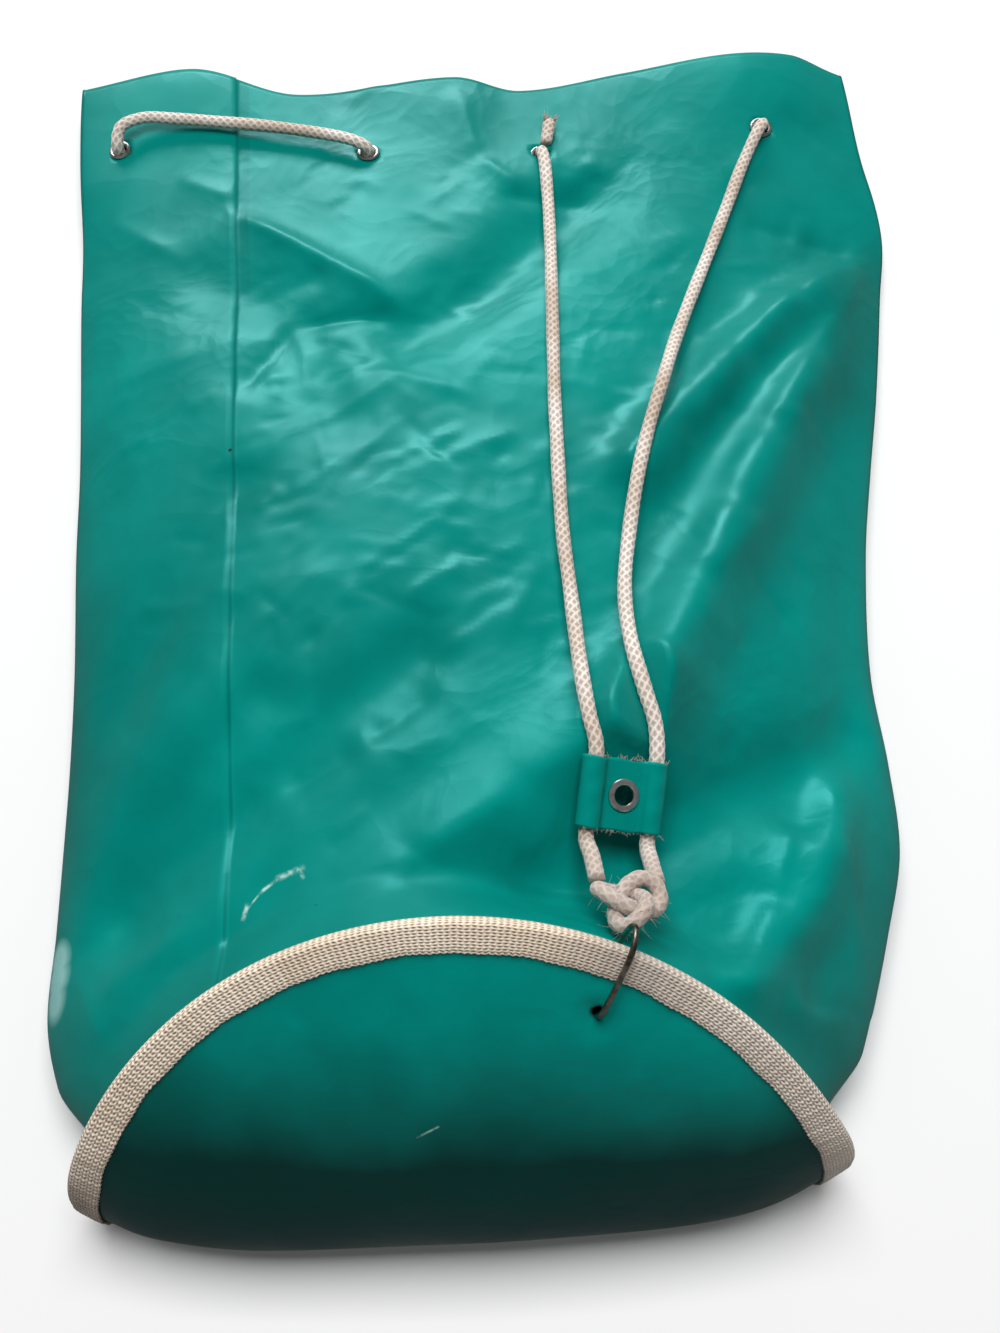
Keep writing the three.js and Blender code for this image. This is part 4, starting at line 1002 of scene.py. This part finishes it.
def cotton_webbing():
    material, tree, shader = new_material("cotton_webbing")
    place = node(tree, "TexCoord").outputs["Object"]
    weave = node(tree, "UVMap", uv_map="weave").outputs["UV"]
    parts = node(tree, "SeparateXYZ", {0: weave})
    ribs = 2 * math.pi * 10 / weave_step
    lengthways = node(tree, "Math", {0: parts.outputs["X"], 1: ribs}, operation="MULTIPLY").outputs[0]
    crossways = node(tree, "Math", {0: parts.outputs["Y"], 1: ribs}, operation="MULTIPLY").outputs[0]
    bent = node(tree, "Math", {0: crossways}, operation="SINE").outputs[0]
    slanted = node(tree, "Math", {0: bent, 1: 1.4, 2: lengthways}, operation="MULTIPLY_ADD").outputs[0]
    wave = node(tree, "Math", {0: slanted}, operation="SINE").outputs[0]
    columns = node(tree, "Math", {0: bent}, operation="ABSOLUTE").outputs[0]
    height = node(tree, "Math", {0: wave, 1: 0.6, 2: columns}, operation="MULTIPLY_ADD").outputs[0]
    # Painted shade in the weave: its low places are coloured dark brown, its raised threads cream.
    cream_and_weave_shade = colour_ramp(tree, node(tree, "MapRange", {0: height, 1: -0.6, 2: 1.4}).outputs[0],
                        [(0.1, (0.36, 0.26, 0.18)), (0.62, (0.95, 0.83, 0.68))])
    cloud = node(tree, "TexNoise", {"Vector": place, "Scale": 34.0, "Detail": 5.0}).outputs["Fac"]
    soiling = colour_ramp(tree, cloud, [(0.3, (0.74, 0.66, 0.58)), (0.65, (1.0, 1.0, 1.0))])
    colour = blend_colours(tree, 0.8, cream_and_weave_shade, soiling, "MULTIPLY")
    spots = node(tree, "SeparateXYZ", {0: place})
    # Painted shade: the webbing darkens to brown towards its lower ends, where it turns down away from the lights.
    ragged = node(tree, "MapRange", {0: cloud, 1: 0.3, 2: 0.7, 3: -0.012, 4: 0.012}).outputs[0]
    low = node(tree, "Math", {0: spots.outputs["Z"], 1: ragged}, operation="ADD").outputs[0]
    low_painted_shade = node(tree, "MapRange", {0: low, 1: 0.075, 2: 0.032, 3: 0.0, 4: 0.88}).outputs[0]
    colour = blend_colours(tree, low_painted_shade, colour, (0.075, 0.05, 0.032, 1.0))
    rubbed = node(tree, "VectorMath", {0: place, 1: (0.053, -0.187, 0.118)}, operation="DISTANCE").outputs["Value"]
    rubbed = node(tree, "MapRange", {0: rubbed, 1: 0.03, 2: 0.006, 3: 0.0, 4: 0.62}).outputs[0]
    colour = blend_colours(tree, rubbed, colour, (0.3, 0.25, 0.22, 1.0))
    right = node(tree, "MapRange", {0: spots.outputs["X"], 1: 0.04, 2: 0.08, 3: 0.0, 4: 0.4}).outputs[0]
    colour = blend_colours(tree, right, colour, (0.42, 0.39, 0.37, 1.0))
    tree.links.new(colour, shader.inputs["Base Color"])
    bump = node(tree, "Bump", {"Height": height, "Strength": 0.9, "Distance": 0.0004})
    tree.links.new(bump.outputs["Normal"], shader.inputs["Normal"])
    shader.inputs["Roughness"].default_value = 0.9
    shader.inputs["Sheen Weight"].default_value = 0.15
    return material


webbing_cloth = cotton_webbing()
rim_binding.data.materials.append(webbing_cloth)
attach(rim_binding, "root")
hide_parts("rim_binding")

# Eyelets
# Rolled nickel-plated eyelets, set from the front through the vinyl and spread over at the back.


def rolled_eyelet(name, seat, aim, flange, hole, layers):
    """A closed rolled profile spun round its axis, then placed on its seat."""
    rim, bore = flange / 2, hole / 2
    metal = 0.8
    top, bottom = 0.45, -layers - 0.45
    profile = [
        (bore + 0.05, top - 0.1), (bore + 0.12, top + 0.45), (bore + 0.5, top + 0.78),
        ((rim + bore) / 2 + 0.2, top + metal), (rim - 0.25, top + 0.6), (rim, top + 0.25), (rim - 0.05, top),
        (bore + 0.6, top), (bore + 0.6, bottom), (rim - 0.05, bottom), (rim, bottom - 0.25),
        (rim - 0.25, bottom - 0.6), ((rim + bore) / 2 + 0.2, bottom - metal), (bore + 0.5, bottom - 0.78),
        (bore + 0.12, bottom - 0.45), (bore + 0.05, bottom + 0.1),
    ]
    bpy.ops.object.select_all(action="DESELECT")
    bpy.ops.mesh.primitive_circle_add(vertices=len(profile), radius=0.001, fill_type="NOTHING")
    piece = bpy.context.object
    piece.name = name
    for corner, (radius, height) in zip(piece.data.vertices, profile):
        corner.co = (radius / 1000, 0.0, height / 1000)
    bpy.ops.object.mode_set(mode="EDIT")
    bpy.ops.mesh.select_all(action="SELECT")
    bpy.ops.mesh.spin(steps=40, angle=2 * math.pi, center=(0, 0, 0), axis=(0, 0, 1))
    bpy.ops.mesh.select_all(action="SELECT")
    bpy.ops.mesh.remove_doubles(threshold=0.00001)
    bpy.ops.mesh.normals_make_consistent(inside=False)
    bpy.ops.object.mode_set(mode="OBJECT")
    bpy.ops.object.shade_smooth()
    turn = Vector(aim).to_track_quat("Z", "Y").to_matrix().to_4x4()
    piece.data.transform(Matrix.Translation(Vector(seat) / 1000) @ turn)
    return piece


def worn_nickel(name, dull, bright):
    material, tree, shader = new_material(name)
    place = node(tree, "TexCoord").outputs["Object"]
    cloud = node(tree, "TexNoise", {"Vector": place, "Scale": 260.0, "Detail": 5.0}).outputs["Fac"]
    colour = colour_ramp(tree, cloud, [(0.3, dull), (0.62, bright)])
    tree.links.new(colour, shader.inputs["Base Color"])
    rough = node(tree, "MapRange", {0: cloud, 1: 0.3, 2: 0.7, 3: 0.5, 4: 0.24}).outputs[0]
    tree.links.new(rough, shader.inputs["Roughness"])
    bump = node(tree, "Bump", {"Height": cloud, "Strength": 0.15, "Distance": 0.0002})
    tree.links.new(bump.outputs["Normal"], shader.inputs["Normal"])
    shader.inputs["Metallic"].default_value = 1.0
    return material


nickel = worn_nickel("worn_nickel", (0.36, 0.33, 0.3), (0.78, 0.78, 0.77))
for number, (seat, aim) in enumerate(eyelet_seats, 1):
    eyelet = rolled_eyelet(f"eyelet_{number}_rolled", seat, aim, 10.4, 6.6, vinyl)
    eyelet.data.materials.append(nickel)
    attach(eyelet, "root")
    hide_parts(f"eyelet_{number}")

# Slider tab
# A strip of the same vinyl folded round both strands, so that each runs in a sleeve, and held by one
# grommet through its middle. It slides along the cord to draw the mouth shut.
tab_middle = np.array([55.0, -121.5, 79.3])
tab_run = Vector((-0.11994, -0.94953, -0.28986)).normalized()
tab_right = Vector((0.95132, -0.02601, -0.3071)).normalized()
tab_up = tab_run.cross(tab_right).normalized()
tab_right = tab_up.cross(tab_run).normalized()
tab_length = 25.0
tab_half_span = 11.45
tab_vinyl = 1.2
sleeve_radius = 3.25
layers_gap = 0.15
tab_layers = 2 * (layers_gap + tab_vinyl)


def sleeve_outline(radius, waist):
    """The tab's end outline: a round sleeve at each side and a flat waist between, as (right, up)."""
    opening = math.asin(min(1.0, waist / radius))
    bends = 22
    half = []
    for bend in range(bends):
        turn = -math.pi + opening + (2 * math.pi - 2 * opening) * bend / (bends - 1)
        half.append((tab_half_span + radius * math.cos(turn), radius * math.sin(turn)))
    edge = [(tab_half_span * (1 - 0.2 * step) - radius, waist) for step in range(1, 9)]
    reach = half[-1][0]
    edge = [(reach - 2 * reach * step / 9, waist) for step in range(1, 9)]
    outline_points = half + edge
    return outline_points + [(-x, -y) for x, y in outline_points]


outer_outline = sleeve_outline(sleeve_radius + tab_vinyl, layers_gap + tab_vinyl)
inner_outline = sleeve_outline(sleeve_radius, layers_gap)
tab_steps = np.linspace(-tab_length / 2, tab_length / 2, 26)
tab_loops = []
for outline_points, order in ((outer_outline, 1), (inner_outline, -1)):
    for step in tab_steps[::order]:
        share = 2 * step / tab_length
        loop = []
        for x, y in outline_points:
            flare = 1 + 0.02 * math.sin(step * 0.7 + x * 0.4)
            skew = 0.25 * math.sin(x * 0.35 + 1.0) * share
            cut = 0.3 * math.sin(x * 0.5) * (1 if abs(share) > 0.98 else 0)
            loop.append(
                Vector(tab_middle) + tab_right * x + tab_up * (y * flare + 0.1 * skew) + tab_run * (step + cut)
            )
        tab_loops.append([tuple(corner) for corner in loop])
tab_loops = np.array(tab_loops) / 1000
tab_columns = tab_loops.shape[1]
tab_uv = np.stack(np.meshgrid(np.arange(tab_columns + 1) / tab_columns, np.arange(len(tab_loops) + 1) / 26), axis=-1)
slider_tab = grid_piece("slider_tab_folded", tab_loops, tab_uv, True, True)
tab_seat = np.array(tab_middle) + np.array(tab_up) * (layers_gap + tab_vinyl)
# The tab is painted as a brighter copy of the wall's vinyl.
tab_vinyl_finish = green_vinyl("tab_vinyl", [], [], [], painted_light_factor=1.12)
punch_holes(slider_tab, [(tuple(np.array(tab_middle) / 1000), tuple(tab_up))], 0.0042, 0.012)
slider_tab.data.materials.append(tab_vinyl_finish)
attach(slider_tab, "root")
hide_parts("slider_tab")
draw = random.Random(12)
thread_roots, thread_aims = [], []
for _ in range(120):
    end = draw.choice((-1, 1))
    across = draw.uniform(-1, 1) * (tab_half_span + 3)
    height = layers_gap + tab_vinyl + (2.6 if abs(across) > tab_half_span - 2.6 else 0.0)
    root = Vector(tab_middle) + tab_right * across + tab_up * (height - 0.3) + tab_run * end * (tab_length / 2 - 0.2)
    thread_roots.append(root / 1000)
    thread_aims.append(tab_run * end + tab_right * draw.uniform(-1.2, 1.2) + tab_up * draw.uniform(-0.1, 0.7))
thread_lengths = [draw.uniform(0.0006, 0.0022) for _ in thread_roots]
tab_threads = fibres("tab_threads", thread_roots, thread_aims, thread_lengths, 0.00014, 0.5, 5)
tab_threads.data.materials.append(cotton)
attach(tab_threads, "root")
tab_eyelet = rolled_eyelet("tab_grommet", tuple(tab_seat), tuple(tab_up), 11.6, 6.8, tab_layers)
tab_eyelet.data.materials.append(nickel)
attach(tab_eyelet, "root")
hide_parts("tab_eyelet")

# Base ring
# A bent and tarnished wire ring. It goes through a hole in the base panel, over the binding, under the
# knot and back through the wall.
wire_route = [
    (43.1, -198.9, 103.9), (43.2, -200.3, 106.2), (44.0, -200.2, 109.1), (46.4, -196.3, 113.3),
    (49.5, -190.4, 117.9), (52.4, -184.5, 121.4), (53.9, -179.5, 121.1), (54.4, -175.5, 118.0),
    (53.7, -173.9, 112.9), (51.6, -175.8, 107.3), (48.7, -180.5, 102.2), (45.8, -186.2, 98.4),
    (43.8, -192.1, 97.9), (43.1, -196.4, 100.8),
]
wire_centres = smooth_route(np.array(wire_route) / 1000, 0.0007, closed=True)
wire_sides, wire_ups = tube_frames(wire_centres, closed=True)
wire_turn = np.arange(14) / 14 * 2 * math.pi
wire_points = (
    wire_centres[:, None, :]
    + wire_sides[:, None, :] * (0.001 * np.cos(wire_turn))[None, :, None]
    + wire_ups[:, None, :] * (0.001 * np.sin(wire_turn))[None, :, None]
)
wire_uv = np.stack(np.meshgrid(np.arange(15) / 14, np.arange(len(wire_centres) + 1) / 20), axis=-1)
base_ring = grid_piece("base_ring_wire", wire_points, wire_uv, True, True)
base_ring.data.materials.append(worn_nickel("tarnished_wire", (0.05, 0.035, 0.025), (0.4, 0.36, 0.3)))
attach(base_ring, "root")
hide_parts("base_ring")

# Floor and light
# A plain pale floor, a large soft window light beyond the mouth and a weak even fill.
bpy.ops.object.select_all(action="DESELECT")
bpy.ops.mesh.primitive_plane_add(size=8.0, location=(0, 0, -0.0002))
floor = bpy.context.object
floor.name = "floor"
floor_paint, floor_tree, floor_shader = new_material("floor_paint")
floor_shader.inputs["Base Color"].default_value = (0.9, 0.9, 0.9, 1.0)
floor_shader.inputs["Roughness"].default_value = 0.8
floor_shader.inputs["Specular IOR Level"].default_value = 0.1
floor.data.materials.append(floor_paint)


def soft_light(name, place, aim, width, height, power):
    lamp = bpy.data.lights.new(name, "AREA")
    lamp.shape = "RECTANGLE"
    lamp.size, lamp.size_y = width, height
    lamp.energy = power
    made = bpy.data.objects.new(name, lamp)
    made.location = place
    made.rotation_euler = (Vector(aim) - Vector(place)).to_track_quat("-Z", "Y").to_euler()
    bpy.context.collection.objects.link(made)
    return made


window = soft_light("window_light", (-0.3, 1.65, 0.8), (0, 0, 0.03), 1.1, 0.45, 22.0)
soft_light("ceiling_light", (0.0, 0.4, 1.9), (0, 0, 0), 1.2, 1.0, 41.5).visible_glossy = False
pieces_lit = bpy.data.collections.new("pieces_lit")
for piece in bpy.data.objects:
    if piece.type == "MESH" and piece is not floor:
        pieces_lit.objects.link(piece)
window.light_linking.receiver_collection = pieces_lit
floor.visible_glossy = False
world = bpy.data.worlds.new("studio")
world.use_nodes = True
world.node_tree.nodes["Background"].inputs["Color"].default_value = (1.0, 1.0, 1.0, 1.0)
world.node_tree.nodes["Background"].inputs["Strength"].default_value = 0.16
bpy.context.scene.world = world
bpy.context.scene.view_settings.view_transform = "Standard"
